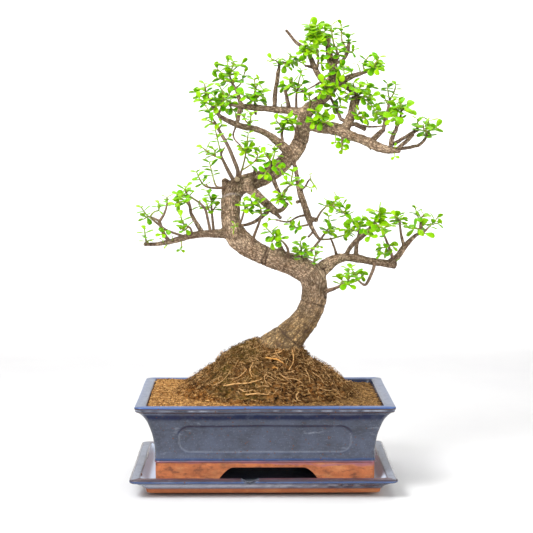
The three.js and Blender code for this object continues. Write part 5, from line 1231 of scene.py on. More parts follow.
def trayMasks(x, y, z, inset, under, drip, wobble):
    # where the tray's clay is bare and its glaze pools, burns, pales or turns cobalt, and where shade,
    # highlights and light are painted into its glaze
    band = bandReader(trayBands, z)
    lip = inset < 1.5
    bare = np.where(under & (inset > 17), softStep(z - 5.6, 0.3), 0)
    top = ramp(z - 19.2, 0.3) * ramp(inset - 2.4, 1.2)
    sideRim = tray["size"][0] / 2 - np.abs(x) < tray["size"][1] / 2 - np.abs(y)
    floor = ~under & (inset > 13)
    # painted shade: the floor under the pot
    shadeUnderPot = floor & (np.abs(x - pot["middle"]) < 128) & (np.abs(y) < 60)
    # painted shade: the floor seen through the notch
    shadeBehindNotch = floor & (np.abs(x - tray["notchAt"]) < 13) & (y < 0)
    # the lip round the notch, darkened as painted shade
    notch = (np.abs(x - tray["notchAt"]) < 11 - (tray["notchTop"] - z)) & (y < -100) & (z > 15)
    # pale: the floor, less where shade is painted, and level side rim tops painted paler as a sheen
    pale = np.where(floor, (1 - shadeUnderPot) * (1 - 0.8 * shadeBehindNotch), 0.5 * top * sideRim)
    # a painted highlight on the sloped wall under the lip, brightest on the left, and pale streaks under and
    # on the lip
    streaksAndHighlight = np.maximum.reduce([
        band("slopePale") * np.clip(0.85 + (-x + 60 * drip) / 150, 0, 1) * under,
        0.8 * band("lipUnder") * under * np.clip(0.6 + 0.8 * drip, 0, 1),
        0.55 * band("lipPale", 0.4 * wobble) * lip * np.clip(0.5 + drip, 0, 1)])
    poolAndShade = np.maximum.reduce([
        0.5 * band("lipNavy", 0.5 * wobble) * lip, 0.9 * shadeUnderPot, 0.85 * band("slopeNavy") * under])
    innerEdge = bump(inset, 12.3 + 0.3 * drip, 0.6) * (z > 13) * ~under
    # burnt: dark rim and inner-edge lines, a light darkening of the underside, and painted shade round the
    # notch
    burntAndShade = np.maximum.reduce([
        np.clip(0.95 * band("rimBurnt", 0.3 * wobble) * (inset < 3) + 0.95 * innerEdge
                + 0.05 * (0.6 + 0.4 * drip) * under * (inset > 5), 0, 1),
        top * ~sideRim * np.clip(0.75 + 0.4 * drip, 0, 1), 0.35 * notch])
    # frost: a paler tint over the floor and the streaks, painted light that lifts them
    return {"dull": np.where(floor, 1, 0.45 * top), "bare": bare, "pale": np.maximum(pale, streaksAndHighlight),
            "poolAndShade": poolAndShade, "burntAndShade": burntAndShade, "cobalt": 0.6 * band("lipCobalt", 0.4 * wobble) * lip,
            "blush": 0.3 * band("lipBlush", 0.6 * drip) * under + 0.3 * top * ~sideRim,
            "sooty": np.full(len(z), 0.05), "paintedLight": np.where(floor, 0.75 * pale, 0.22 * streaksAndHighlight)}


def buildTray():
    # one closed shell round a profile, with a vee notch cut through the front of its lip
    outline = makeOutline(180, 90, 9)
    profile = finerProfile(trayProfile, 1.8)
    points, faces = shellOf(profile, tray["size"], outline, tray["corner"])
    points += tray["uneven"] * noiseVectors(points, 50, 5) * (points[:, 2:] > 6)
    x, y, z = points.T
    inset = np.minimum(tray["size"][0] / 2 - np.abs(x), tray["size"][1] / 2 - np.abs(y))
    underside = (profile[:, 1] < 15) & (np.arange(len(profile)) < len(profile) / 2)
    under = np.concatenate([np.repeat(underside, len(outline[0])), [True, False]])
    wobble, drip = (valueNoise(points * [1, 1, 0], size, seed) for size, seed in ((25, 8), (6, 10)))
    masks = trayMasks(x, y, z, inset, under, drip, wobble)
    piece = makePiece("dripTray", points, faces, [potGlaze], attributes=masks)
    half = tray["notchWide"] / 2
    vee = np.array([(-half, tray["notchTop"]), (0, tray["notchLow"]), (half, tray["notchTop"])])
    vee += [tray["notchAt"], 0]
    cutAway(piece, vee, lambda spots, y: np.column_stack([spots[:, 0], np.full(3, y), spots[:, 1]]),
            (-87, -118))
    seat(piece, "tray_glaze", "drip_tray")


# The ground in the pot: coir to the rim and the old root ball's mound
ground = {
    "front": (103, 102), "back": (105, 98),   # height of the coir to the left and right
    "lowest": 97.5, "highest": 105.4,         # and its limits anywhere
    "crumbs": 15000, "fibres": 350, "hairs": 7200,
    "crumbSize": (0.45, 1.1), "crumbLength": 2.6,   # the smallest, and how much more the largest have
    "rootBend": 2.6, "rootRadius": (0.2, 0.3),      # radians between the two extremes; as for crumbs
    "moundReach": (105, 75), "levelHigh": 11,       # mean reach sideways and in depth, height of a level
}
moundMiddle = (0, 2)
# levels of the mound, counted from 0: height, then reach to the left, right, front and back
moundLevels = np.array([
    (58, 44, 52, 34, 32), (72, 66, 74, 52, 46), (98, 110, 119, 86, 72), (108, 101, 111, 81, 67),
    (118, 88, 99, 74, 61), (128, 74, 86, 65, 55), (138, 57, 70, 54, 48), (148, 49, 53, 43, 40),
    (157, 33, 48, 32, 32), (164, 14, 42, 15, 22), (165, 4, 8, 4, 6)], float)


def moundPoint(level, turn):
    # a point of the mound: reaches between the levels, joined round it by quarters of ellipses
    steps = np.arange(len(moundLevels))
    z, left, right, front, back = (np.interp(level, steps, column) for column in moundLevels.T)
    c, s = np.cos(turn), np.sin(turn)
    x = moundMiddle[0] + np.where(c > 0, right, left) * c
    y = moundMiddle[1] + np.where(s > 0, back, front) * s
    return np.stack([x, y, z], axis=-1)


def moundNormal(level, turn):
    # outward direction of the mound: the cross product of its two slopes
    step = 0.02
    along = moundPoint(level, turn + step) - moundPoint(level, turn - step)
    rise = moundPoint(level + step, turn) - moundPoint(level - step, turn)
    return unit(np.cross(along, rise))


def moss(points):
    # where the moss grows: the left shoulder of the mound, in patches
    patches = 0.7 + 0.8 * valueNoise(points, 12, 21)
    return np.clip(bump(points[:, 0], -32, 30) * (points[:, 2] > 108) * patches, 0, 1)


def coirShare(points):
    # where orange coir lies over the mound's foot: high on the left, low in front
    edge = 105 + 0.3 * np.clip(-points[:, 0] - 42, 0, 60) + 5 * valueNoise(points, 9, 14)
    return ramp(edge - points[:, 2], 5) * ramp(12 - points[:, 0], 30)


def buildMound():
    # the old root ball: its levels and turns on a grid, pushed out along the normals by three noises
    rows, columns = 120, 300
    level = np.repeat(np.linspace(0, 9.9, rows), columns)
    turn = np.tile(2 * np.pi * np.arange(columns) / columns, rows)
    points = moundPoint(level, turn)
    free = ramp(points[:, 2] - 92, 10)
    lumps = layeredNoise(points, (2.2, 13, 11), (1.6, 5, 12), (1.1, 2.4, 13))
    points += moundNormal(level, turn) * (free * (lumps - 0.6))[:, None]
    points = np.vstack([points, [0, 2, 58], [points[-columns:].mean(axis=0)]])
    tone = 0.3 * np.clip(valueNoise(points, 3, 15), 0, 1)
    masks = {"tone": tone, "moss": moss(points), "coir": coirShare(points)}
    piece = makePiece("rootBall", points, closedFaces(rows, columns), [peatMaterial], attributes=masks)
    seat(piece, "root_fibre", "root_ball")


def buildFibres():
    # thin roots: long curved runs and short hairs over the mound, lifting off it, each its own tone
    layRoots("rootFibres", ground["fibres"], 7, 0, (9, 20), 3.6)
    layRoots("rootHairs", ground["hairs"], 4, 200, (2.5, 6), 4.6)


def layRoots(name, count, steps, seed, reach, rise):
    # each root wanders from its own start over the mound's levels, three-sided, arching up to the rise
    sides = 3
    each = np.arange(count)[:, None]
    run = np.linspace(0, 1, steps)[None]
    level0 = 2.3 + 7.2 * chance(each, seed + 1) ** 0.8
    turn0 = 2 * np.pi * chance(each, seed + 2)
    heading = 2 * np.pi * chance(each, seed + 3)
    length = reach[0] + reach[1] * chance(each, seed + 4) ** 2
    bend = ground["rootBend"] * (chance(each, seed + 5) - 0.5)
    # a step along the root turns it round the mound, whose radius shrinks to the top, and lifts its level
    spread = ground["moundReach"][1] * np.clip((11 - level0) / 8, 0.12, 1)
    way = heading + bend * run
    turn = turn0 + np.cumsum(np.cos(way), axis=1) * length / steps / spread
    level = level0 + np.cumsum(np.sin(way), axis=1) * length / steps / ground["levelHigh"]
    level = np.clip(level, 2.25, 9.8)
    arch = np.sin(np.pi * (0.15 + 0.7 * run))
    lift = 0.3 + (0.8 + rise * chance(each, seed + 6) ** 3) * arch + 0.5 * chance(each, seed + 7)
    flatLevel, flatTurn = level.ravel(), turn.ravel()
    centre = moundPoint(flatLevel, flatTurn) + moundNormal(flatLevel, flatTurn) * lift.reshape(-1, 1)
    centre = centre.reshape(count, steps, 3)
    thin, more = ground["rootRadius"]
    radius = (thin + more * chance(each, seed + 8) ** 2) * (1 - 0.6 * run)
    points, faces = manyTubes(centre, radius, sides)
    # three roots in ten are straw, the others dark
    pick = chance(each[:, 0], seed + 9) + 0.3 * valueNoise(centre[:, 0], 7, 23)
    tone = np.clip(np.where(pick > 0.7, 0.85 + 0.6 * (pick - 0.7), 0.26 * pick), 0, 1)
    tone = np.repeat(tone, steps * sides + 2)
    masks = {"tone": tone, "moss": moss(points) * (1 - 0.7 * tone),
             "coir": 0.7 * coirShare(points) * (tone < 0.5)}
    piece = makePiece(name, points, faces, [peatMaterial], attributes=masks)
    seat(piece, "root_fibre")


# Roots that show: in front elevation, each with its radius and whether it is orange
visibleRoots = [
    ([(3, 146), (11, 144.5), (18, 143.5), (26, 138)], 1.3, 0.9),
    ([(12, 133), (15, 133.6), (18, 132.8)], 1.4, 1),
    ([(29, 161), (27, 157), (21, 153), (10, 150)], 0.8, 0.3),
    ([(34, 160), (37, 150), (37, 140), (32, 131)], 0.9, 0.3),
    ([(-48, 111), (-34, 113.3), (-18, 114.5), (-1, 119.4)], 1.0, 0.25),
    ([(-21.5, 100), (-8, 101), (9, 100)], 0.9, 0.2),
    ([(44, 103), (41, 99), (42, 94), (47, 92)], 0.8, 0), ([(-38, 118), (-28, 123), (-20, 131)], 0.7, 0),
    ([(-60, 112), (-50, 117), (-42, 126), (-38, 134)], 0.6, 0),
    ([(52, 131), (56, 124), (58, 114)], 0.6, 0), ([(20, 126), (28, 121), (40, 119), (50, 113)], 0.6, 0),
    ([(60, 128), (70, 121), (76, 112)], 0.6, 0), ([(5, 128), (2, 121), (5, 112)], 0.6, 0),
    ([(-12, 140), (-16, 130), (-13, 122)], 0.6, 0.2), ([(-30, 108), (-22, 104), (-12, 106)], 0.7, 0),
    ([(70, 108), (80, 105), (92, 107)], 0.6, 0),
]


def ontoGround(flat):
    # where the sight lines through points of the front elevation meet the mound or the coir
    depth = np.arange(-105, 20, 0.5)[:, None]
    x, z = alongSight(*np.asarray(flat, float).T, depth)
    left, right, front, back = (np.interp(z, moundLevels[:, 0], moundLevels[:, k]) for k in range(1, 5))
    wide = np.where(x > moundMiddle[0], right, left)
    deep = np.where(depth > moundMiddle[1], back, front)
    inside = ((x - moundMiddle[0]) / wide) ** 2 + ((depth - moundMiddle[1]) / deep) ** 2 < 1
    inside |= z < 103
    hit = inside.argmax(axis=0)
    pick = np.arange(len(flat))
    return np.stack([x[hit, pick], depth[hit, 0], z[hit, pick]], axis=1)


def buildRoots():
    # the larger roots, laid half sunk along the mound's face
    parts, tones, reds = [], [], []
    for flat, radius, orange in visibleRoots:
        spots = smoothCourse(ontoGround(flat), 5) + [0, -0.35 * radius - 1.9, 0.5]
        taper = radius * (1 - 0.45 * np.linspace(0, 1, len(spots)))
        wiggle = 1 + 0.15 * np.sin(5.1 * np.arange(len(spots)))
        parts.append(tube(spots, taper * wiggle, 8))
        tones.append(np.full(len(parts[-1][0]), 0.95 if radius > 1.1 or orange else 0.72))
        reds.append(np.full(len(parts[-1][0]), 0.7 * orange))
    points, faces = joinParts(parts)
    masks = {"tone": np.concatenate(tones), "amber": np.concatenate(reds)}
    piece = makePiece("visibleRoots", points, faces, [peatMaterial], attributes=masks)
    seat(piece, "root_fibre")


def repeatFaces(faces, count, step):
    # the same faces for many equal blocks of points
    start = (np.arange(count) * step)[:, None, None]
    return [(block + start).reshape(-1, block.shape[1]) for block in faces]


def manyTubes(centre, radius, sides):
    # many tubes at once: a ring round each point of each path, on a frame made from the path's own
    # direction and a fixed lean, with a point at each end
    count, steps = centre.shape[:2]
    tangent = unit(np.gradient(centre, axis=1))
    side = unit(np.cross(tangent, [0.25, 0.35, 0.9]))
    up = np.cross(tangent, side)
    turn = 2 * np.pi * np.arange(sides) / sides
    ring = side[:, :, None] * np.cos(turn)[:, None] + up[:, :, None] * np.sin(turn)[:, None]
    body = (centre[:, :, None] + radius[:, :, None, None] * ring).reshape(count, -1, 3)
    ends = np.stack([centre[:, 0], centre[:, -1] + radius[:, -1:] * tangent[:, -1]], axis=1)
    points = np.concatenate([body, ends], axis=1)
    return points.reshape(-1, 3), repeatFaces(closedFaces(steps, sides), count, steps * sides + 2)


def soilHeight(x, y):
    # the coir's surface: a level between its front and back heights, with three noises over it
    share = y / pot["size"][1] + 0.5
    side = (x - pot["middle"]) / pot["size"][0] + 0.5
    front, back = (ends[0] + (ends[1] - ends[0]) * side for ends in (ground["front"], ground["back"]))
    spots = np.stack([x, y, np.zeros_like(x)], axis=-1)
    rough = layeredNoise(spots, (0.8, 14, 16), (0.6, 5, 17), (0.4, 2.2, 18))
    return np.clip(front + (back - front) * share + rough, ground["lowest"], ground["highest"])


def peatShare(points):
    # dark crumbs of the old root ball mixed into the coir, more of them to the right
    return np.clip((points[:, 0] + 45 + 25 * valueNoise(points, 18, 20)) / 60, 0, 0.95)


# the soil's outside, just within the pot's inner wall: (distance drawn in from the rim, height)
soilWall = [
    (34.4, 37.4), (33.4, 45), (31.4, 62), (26.9, 78.5), (22.4, 87), (15.9, 95), (15.1, 97.2),
]


def buildSoil():
    # a closed shell: down the pot's inner wall, and over the top in rings that shrink to the middle
    ax, ay, ux, uy = makeOutline(150, 90, 6)
    radius = 4
    rings = []
    for inset, z in soilWall:
        halfX, halfY = pot["size"][0] / 2 - inset - radius, pot["size"][1] / 2 - inset - radius
        rings.append(np.stack([pot["middle"] + ax * halfX + ux * radius, ay * halfY + uy * radius,
                               np.full(len(ax), z)], axis=1))
    edge = rings[-1]
    for share in np.linspace(1, 0.5, 60):
        x, y = edge[:, 0] * share, edge[:, 1] * share
        rings.append(np.stack([x, y, soilHeight(x, y)], axis=1))
    points = np.vstack(rings + [[0, 0, soilWall[0][1]], [0, 0, 100]])
    tone = 0.5 * np.clip(valueNoise(points, 2.5, 19) + 0.2, 0, 1)
    faces = closedFaces(len(rings), len(ax))
    masks = {"tone": tone, "peat": peatShare(points)}
    piece = makePiece("pottingSoil", points, faces, [coirMaterial], attributes=masks)
    seat(piece, "coir", "potting_soil")


def buildCrumbs():
    # loose crumbs and short fibres of coir on the surface: stretched eight-sided grains
    count = ground["crumbs"]
    each = np.arange(count)
    inner = np.array(pot["size"]) / 2 - 14.8
    x = pot["middle"] + (2 * chance(each, 31) - 1) * inner[0]
    y = (2 * chance(each, 32) - 1) * inner[1]
    # a crumb that would fall within the mound's foot lies somewhere on the mound instead
    wide, deep = ground["moundReach"]
    turn = np.arctan2((y - moundMiddle[1]) / deep, (x - moundMiddle[0]) / wide)
    foot = moundPoint(np.full(count, 2.0), turn)
    onMound = np.hypot(x, y) < 0.97 * np.hypot(foot[:, 0], foot[:, 1])
    level = 2.0 + 7.4 * chance(each, 33) ** 1.3
    slopeTurn = 2 * np.pi * chance(each, 34)
    high = moundPoint(level, slopeTurn)
    spot = np.stack([x, y, soilHeight(x, y)], axis=1)
    spot = np.where(onMound[:, None], high, spot)
    small, more = ground["crumbSize"]
    size = (small + more * chance(each, 35) ** 2.5) * (1 + 0.6 * onMound * chance(each, 40))
    stretch = 1 + ground["crumbLength"] * chance(each, 36) ** 3
    heading = 7 * chance(each, 37)
    axis = unit(np.stack([np.cos(heading), np.sin(heading), 0.5 * (chance(each, 38) - 0.3)], axis=1))
    side = unit(np.cross(axis, [0.1, 0.2, 1.0]))
    up = 0.8 * np.cross(side, axis)
    half = axis * stretch[:, None]
    arms = np.stack([half, -half, side, -side, up, -up], axis=1)
    points = (spot[:, None] + arms * size[:, None, None]).reshape(-1, 3)
    grain = np.array([(0, 2, 4), (2, 1, 4), (1, 3, 4), (3, 0, 4), (2, 0, 5), (1, 2, 5), (3, 1, 5), (0, 3, 5)])
    faces = [(grain + 6 * each[:, None, None]).reshape(-1, 3)]
    tone = np.repeat(np.clip(1.1 * chance(each, 39) ** 1.3 - 0.05, 0, 1), 6)
    peat = np.repeat(onMound * (1 - coirShare(spot)), 6)
    peat = np.maximum(peatShare(points), peat)
    masks = {"tone": tone * (1 - 0.5 * peat), "peat": peat}
    piece = makePiece("coirCrumbs", points, faces, [coirMaterial], attributes=masks, smooth=False)
    seat(piece, "coir")


# The tree's wood: thick limbs melted into one skin, thin twigs carried in as tubes
bark = {
    "voxel": 1.15,        # grain of the melted skin, millimetres
    "thin": 2.5,          # limbs that end thinner than this stay tubes
    "stouter": 1.04,      # trunk against its plain course
    "trunkSides": 36, "limbSides": 28, "twigSides": 9,
    # heights and depths of the relief
    "lumps": 0.8, "knots": 0.5, "wrinkles": 0.5, "fine": 0.3, "scar": 0.8, "pit": 1.3, "ridge": 0.7,
}
# ring scars round the trunk and the low right branch, as (right, up, back)
ringScars = [
    (1.5, 271.5, -3), (5.5, 270.5, -3), (67, 252, 2), (71, 256, 2), (33, 173, 0), (60, 214, 0),
    (45, 410, 5),
]
# ends that were cut flat, as rows of the courses
cutEnds = [
    (-144, 285.6, -33, 2.6), (161.5, 259.6, 25, 5), (112, 462.5, -16, 6), (14.5, 325.5, -31, 5),
    (-45.5, 363.5, -4, 4.6), (-31, 364, -17, 4), (22, 283.5, -3, 3), (146, 424, -17, 2.8),
    (187.5, 424.5, -19, 2.6), (-87.7, 328, 3, 2.2), (66, 314.5, -27, 3), (41, 336.5, -25, 2),
    (10.5, 370, -33, 2.6), (129, 302.5, -13.5, 3.3), (28, 543, 34, 1.9),
]
# knot holes, darkened with painted shade, and mossy or weathered stains on the front, as (right, up, size)
knotHoles = [
    (-39.6, 355.6, 1.7), (-9.3, 362.5, 2.6), (38, 343, 1.5), (77, 221, 2.6), (74, 256, 2.2),
]
barkStains = [
    (52, 224, 9), (50, 206, 8), (-36, 352, 10), (-8, 362, 9), (70, 232, 7), (60, 240, 6), (26, 176, 6),
    (-52, 300, 6),
]


def limbPath(course, steps=6):
    # a limb's smooth centre line and radii from its course
    return place(smoothCourse(course, steps))


def woodSamples(courses):
    # every limb's centre line in short steps, a row each: place, radius, direction, two cross directions
    # and, from 13 on, the distance along, a metre further for each limb
    rows = []
    for number, course in enumerate(courses):
        centres, radii = limbPath(course, 8)
        radii = radii * (bark["stouter"] if number < 2 else 1)
        step = np.linalg.norm(np.diff(centres, axis=0), axis=1)
        along = np.concatenate([[0], np.cumsum(step)]) + 1000.0 * number
        tangent = unit(np.gradient(centres, axis=0))
        side = unit(np.cross(tangent, [0.31, -0.9, 0.3]))
        rows.append(np.column_stack([centres, radii, tangent, side, np.cross(tangent, side), along]))
    return np.vstack(rows)


def nearestSample(samples, spot):
    # the step of the wood nearest to a spot
    return samples[((samples[:, :3] - spot) ** 2).sum(axis=1).argmin()]


def nearestLimb(points, samples):
    # for each point the limb whose skin is nearest (least distance to an axis point less its radius):
    # its radius, the place round and along it, and whether the point is on its front
    best = np.empty(len(points), int)
    batch = 4000
    for start in range(0, len(points), batch):
        part = points[start:start + batch]
        gaps = np.sqrt(((part[:, None] - samples[None, :, :3]) ** 2).sum(axis=2)) - samples[:, 3]
        best[start:start + batch] = gaps.argmin(axis=1)
    near = samples[best]
    away = points - near[:, :3]
    out = np.stack([(away * near[:, 7:10]).sum(axis=1), (away * near[:, 10:13]).sum(axis=1)], axis=1)
    along = near[:, 13] + (away * near[:, 4:7]).sum(axis=1)
    return near[:, 3], out, along, away[:, 1] < 0


def meltedSkin(parts, voxel):
    # closed parts that overlap become one evenly meshed skin
    points, faces = joinParts(parts)
    rough = makePiece("rough", points, faces, [])
    melt = rough.modifiers.new("melt", "REMESH")
    melt.mode, melt.voxel_size = "VOXEL", voxel * mm
    even = rough.modifiers.new("even", "SMOOTH")
    even.factor, even.iterations = 0.5, 4
    settle(rough)
    mesh = rough.data
    spots, normals = np.empty((2, len(mesh.vertices) * 3), np.float32)
    corners = np.empty(len(mesh.loops), np.int32)
    mesh.vertices.foreach_get("co", spots)
    mesh.vertices.foreach_get("normal", normals)
    mesh.loops.foreach_get("vertex_index", corners)
    dropPiece(rough)
    return spots.reshape(-1, 3) / mm, normals.reshape(-1, 3), corners.reshape(-1, 4)


def knobblyTwig(course):
    # a thin twig with swollen joints and small kinks
    centres, radii = limbPath(course)
    joints = valueNoise(centres, 3.2, 46)
    kinks = noiseVectors(centres, 4.5, 47) * radii[:, None] ** 0.5
    return tube(centres + 0.35 * kinks, radii * (1.02 + 0.2 * joints), bark["twigSides"])


def frontSpots(points, spots, power):
    # soft round spots in the front elevation: 1 at each middle, falling as e^-(distance / size)^power
    mask = np.zeros(len(points))
    for x, z, size in spots:
        mask = np.maximum(mask, np.exp(-(np.hypot(points[:, 0] - x, points[:, 2] - z) / size) ** power))
    return mask


def buildWood():
    # thick limbs as one melted skin, raised along its normals by the bark's relief, and thin twigs beside it
    courses = [trunkCourse, topTrunkCourse] + branchCourses + twigCourses
    thin = [course for course in twigCourses if min(row[3] for row in course) < bark["thin"]]
    tubes = [tube(*limbPath(course), bark["limbSides"]) for course in courses[2:] if course not in thin]
    for course in courses[:2]:
        centres, radii = limbPath(course)
        tubes.append(tube(centres, radii * bark["stouter"], bark["trunkSides"]))
    skin, normals, quads = meltedSkin(tubes, bark["voxel"])
    twigs = [knobblyTwig(course) for course in thin]
    samples = woodSamples(courses)
    radius, out, along, front = nearestLimb(skin, samples)
    # bark: broad lumps, small knots and wrinkles that run round the limb, lower on thin limbs
    swell = np.clip(radius / 7.5, 0.3, 1)
    lumps = layeredNoise(skin, (bark["lumps"], 14, 41), (bark["knots"], 5.5, 42))
    ringed = np.column_stack([out * 0.16, along / 3.1])
    wrinkles = -bark["wrinkles"] * np.clip(1 - 3.2 * np.abs(valueNoise(ringed, 1, 43)), 0, 1)
    fine = bark["fine"] * valueNoise(np.column_stack([out * 0.6, along / 3.5]), 1, 44)
    scars = np.zeros(len(skin))
    waver = 1.2 * valueNoise(skin, 6, 45)
    for spot in place([scar + (1,) for scar in ringScars])[0]:
        here = nearestSample(samples, spot)[13]
        scars = np.maximum(scars, bump(along - here + waver, 0, 0.9))
    pits = frontSpots(skin, knotHoles, 4) * front
    # an arched ridge of healed bark on the trunk's upper bend
    away = skin[:, 0] + 36
    ridge = bump(skin[:, 2], 347 - 0.025 * away ** 2, 1.2) * (np.abs(away) < 13) * front
    relief = lumps + wrinkles + fine - bark["scar"] * scars - bark["pit"] * pits + bark["ridge"] * ridge
    skin = skin + normals * (swell * relief)[:, None]
    points, faces = joinParts([(skin, [quads])] + twigs)
    radius, out, along, allFront = nearestLimb(points, samples)
    hollow = np.zeros(len(points))
    # painted shade in the wrinkle troughs, and the ring scars darkened
    creaseShadeAndScars = np.clip(-0.55 * wrinkles * swell / bark["wrinkles"] + 0.9 * scars, 0, 1)
    hollow[:len(skin)] = np.maximum(creaseShadeAndScars, pits)
    cut = np.zeros(len(points))
    spots, radii = place(cutEnds)
    for spot, size in zip(spots, radii):
        gap = np.linalg.norm(points - spot, axis=1) / size
        cut = np.maximum(cut, ramp(0.85 - gap, 0.1))
        hollow = np.maximum(hollow, 0.8 * bump(gap, 1.02, 0.12))
    piece = makePiece("grownTrunk", points, faces, [barkSkin], attributes={
        "hollow": hollow, "cut": cut, "stain": frontSpots(points, barkStains, 2) * allFront,
        "low": ramp(235 - points[:, 2], 50), "slender": ramp(6.5 - radius, 4),
        "ridge": np.concatenate([ridge, np.zeros(len(points) - len(ridge))])})
    layer = piece.data.attributes.new("limb", "FLOAT_VECTOR", "POINT")
    layer.data.foreach_set("vector", (np.column_stack([out, along]) * mm).astype(np.float32).ravel())
    seat(piece, "bark", "trunk")
    return samples


# Leafy sprays: every shoot a tube with pairs of plump leaves set crosswise
leaves = {
    "scale": 0.9,                               # against the plain leaves of the tree's nodes
    "halfWidth": 0.345, "thick": 0.06,          # of the length
    "lean": (0.92, 1.22, 1.3), "grow": (0.8, 1.0, 0.92),  # of the first pair, the second and the rest
    "step": 0.42,                               # between pairs, of the length
    "level": 0.45, "droop": 0.1, "cup": 0.14, "skyward": 1.1,
}
# rings of a leaf: distance from its foot, and width and thickness of the full ones
leafRuns = np.array([0.1, 0.32, 0.6, 0.84, 0.96])
leafWide = np.array([0.2, 0.64, 0.98, 0.88, 0.52])
leafDeep = np.array([0.45, 0.85, 1.0, 0.85, 0.5])


def leafSpots(course, pairs, size, seed):
    # a shoot's leaves: pairs set crosswise down from its tip, the lower ones leaning out further
    centres = place(course)[0]
    i = np.arange(2 * pairs)
    pair = i // 2
    low = np.minimum(pair, 2)
    back = 0.6 + pair * leaves["step"] * size
    lengths = np.linalg.norm(np.diff(centres[::-1], axis=0), axis=1)
    run = np.concatenate([[0], np.cumsum(lengths)])
    back = np.minimum(back, run[-1])
    base = np.stack([np.interp(back, run, centres[::-1, k]) for k in range(3)], axis=1)
    segment = np.clip(np.searchsorted(run, back, side="right") - 1, 0, len(lengths) - 1)
    axis = unit(centres[::-1][segment] - centres[::-1][segment + 1])
    side = unit(np.array([1, 0.3, 0.2]) - axis * (axis @ [1, 0.3, 0.2])[:, None])
    other = np.cross(axis, side)
    share = chance(seed, 1) + 0.25 * pair + 0.5 * (i % 2) + 0.06 * (chance(seed, i + 2) - 0.5)
    turn = 2 * np.pi * share[:, None]
    lean = (np.array(leaves["lean"])[low] + 0.3 * (chance(seed, i + 9) - 0.5))[:, None]
    out = side * np.cos(turn) + other * np.sin(turn)
    along = unit(axis * np.cos(lean) + out * np.sin(lean))
    level = leaves["level"] * (chance(seed, i + 70) > 0.2)
    along[:, 2] += level * (0.1 - along[:, 2])
    along = unit(along)
    face = axis + [0, 0, leaves["skyward"]]
    face = unit(face - along * (face * along).sum(axis=1, keepdims=True))
    length = leaves["scale"] * size * np.array(leaves["grow"])[low] * (0.92 + 0.16 * chance(seed, i + 20))
    tone = np.clip(0.08 + 0.6 * chance(seed, i + 50) + 0.35 * (pair == 0), 0, 1)
    return base, along, face, length, tone


def leafMesh(base, along, face, length, tone):
    # plump spoon-shaped leaves: rings (width cos t, thickness sin t) that widen to the tip third, cupped by
    # the square of the width and drooping by the square of the distance from the foot
    count, rings, sides = len(base), len(leafRuns), 8
    across = np.cross(along, face)
    turn = 2 * np.pi * np.arange(sides) / sides
    wide = leafWide[:, None] * leaves["halfWidth"] * np.cos(turn)
    high = leafDeep[:, None] * leaves["thick"] * np.sin(turn)
    high = high + leaves["cup"] * (wide ** 2) / leaves["halfWidth"] - leaves["droop"] * leafRuns[:, None] ** 2
    far = np.broadcast_to(leafRuns[:, None], wide.shape)
    far = np.concatenate([far.ravel(), [-0.03, 0.99]])
    wide = np.concatenate([wide.ravel(), [0, 0]])
    high = np.concatenate([high.ravel(), [0, -leaves["droop"]]])
    size = length[:, None, None]
    points = base[:, None] + size * (far[:, None] * along[:, None] + wide[:, None] * across[:, None]
                                     + high[:, None] * face[:, None])
    block = len(far)
    first, last = np.arange(sides), np.arange(block - 2 - sides, block - 2)
    one = [gridFaces(rings, sides)[:, ::-1], fanFaces(first, block - 2), fanFaces(last, block - 1, True)]
    faces = repeatFaces(one, count, block)
    # paler at the two edges, and a little between them and the midrib
    rim = np.concatenate([np.tile([1, 0.15, 0, 0.15, 1, 0.15, 0, 0.15], rings), [0.6, 1]])
    return points.reshape(-1, 3), faces, np.repeat(tone, block), np.tile(rim, count)


def fullRows(course):
    # gives the rows of a course that have no radius that of a young tip
    return [row if len(row) == 4 else row + (0.8 if row is course[-1] else 0.9,) for row in course]


def buildSpray(name, shoots, firstSeed, samples=None, node=None):
    # one spray: its shoots' tubes, then all its leaves, in one piece
    stems, thickness, leafRows, seed, sides = [], [], [], firstSeed, 7
    for number, (pairs, size, course) in enumerate(shoots):
        seed += pairs != 2
        course = fullRows(course)
        centres, radii = limbPath(course, 4)
        # the first shoot is carried on to the middle of the wood that bears it
        if number == 0 and samples is not None:
            root = nearestSample(samples, centres[0])[:3]
            if math.dist(root, centres[0]) > 1:
                centres, radii = np.vstack([root, centres]), np.append(radii[0], radii)
        stems.append(tube(centres, radii, sides))
        thickness.append(np.concatenate([np.repeat(radii, sides), [radii[0], radii[-1]]]))
        if pairs:
            leafRows.append(leafSpots(course, pairs, size, seed + 500 * (pairs == 2)))
    stemPoints, stemFaces = joinParts(stems)
    thickness = np.concatenate(thickness)
    base, along, face, length, tone = (np.concatenate(rows) for rows in zip(*leafRows))
    leafPoints, leafFaces, tone, rim = leafMesh(base, along, face, length, tone)
    points = np.vstack([stemPoints, leafPoints])
    faces = stemFaces + [block + len(stemPoints) for block in leafFaces]
    kinds = np.concatenate([np.full(len(block), k >= len(stemFaces)) for k, block in enumerate(faces)])
    plain = np.zeros(len(stemPoints))
    masks = {"age": np.concatenate([ramp(thickness - 0.85, 0.5), np.zeros(len(leafPoints))]),
             "tone": np.concatenate([plain, tone]), "rim": np.concatenate([plain, rim])}
    piece = makePiece(name, points, faces, [shootMaterial, leafMaterial], kinds, masks)
    seat(piece, "foliage", *([node] if node else []))
    return seed


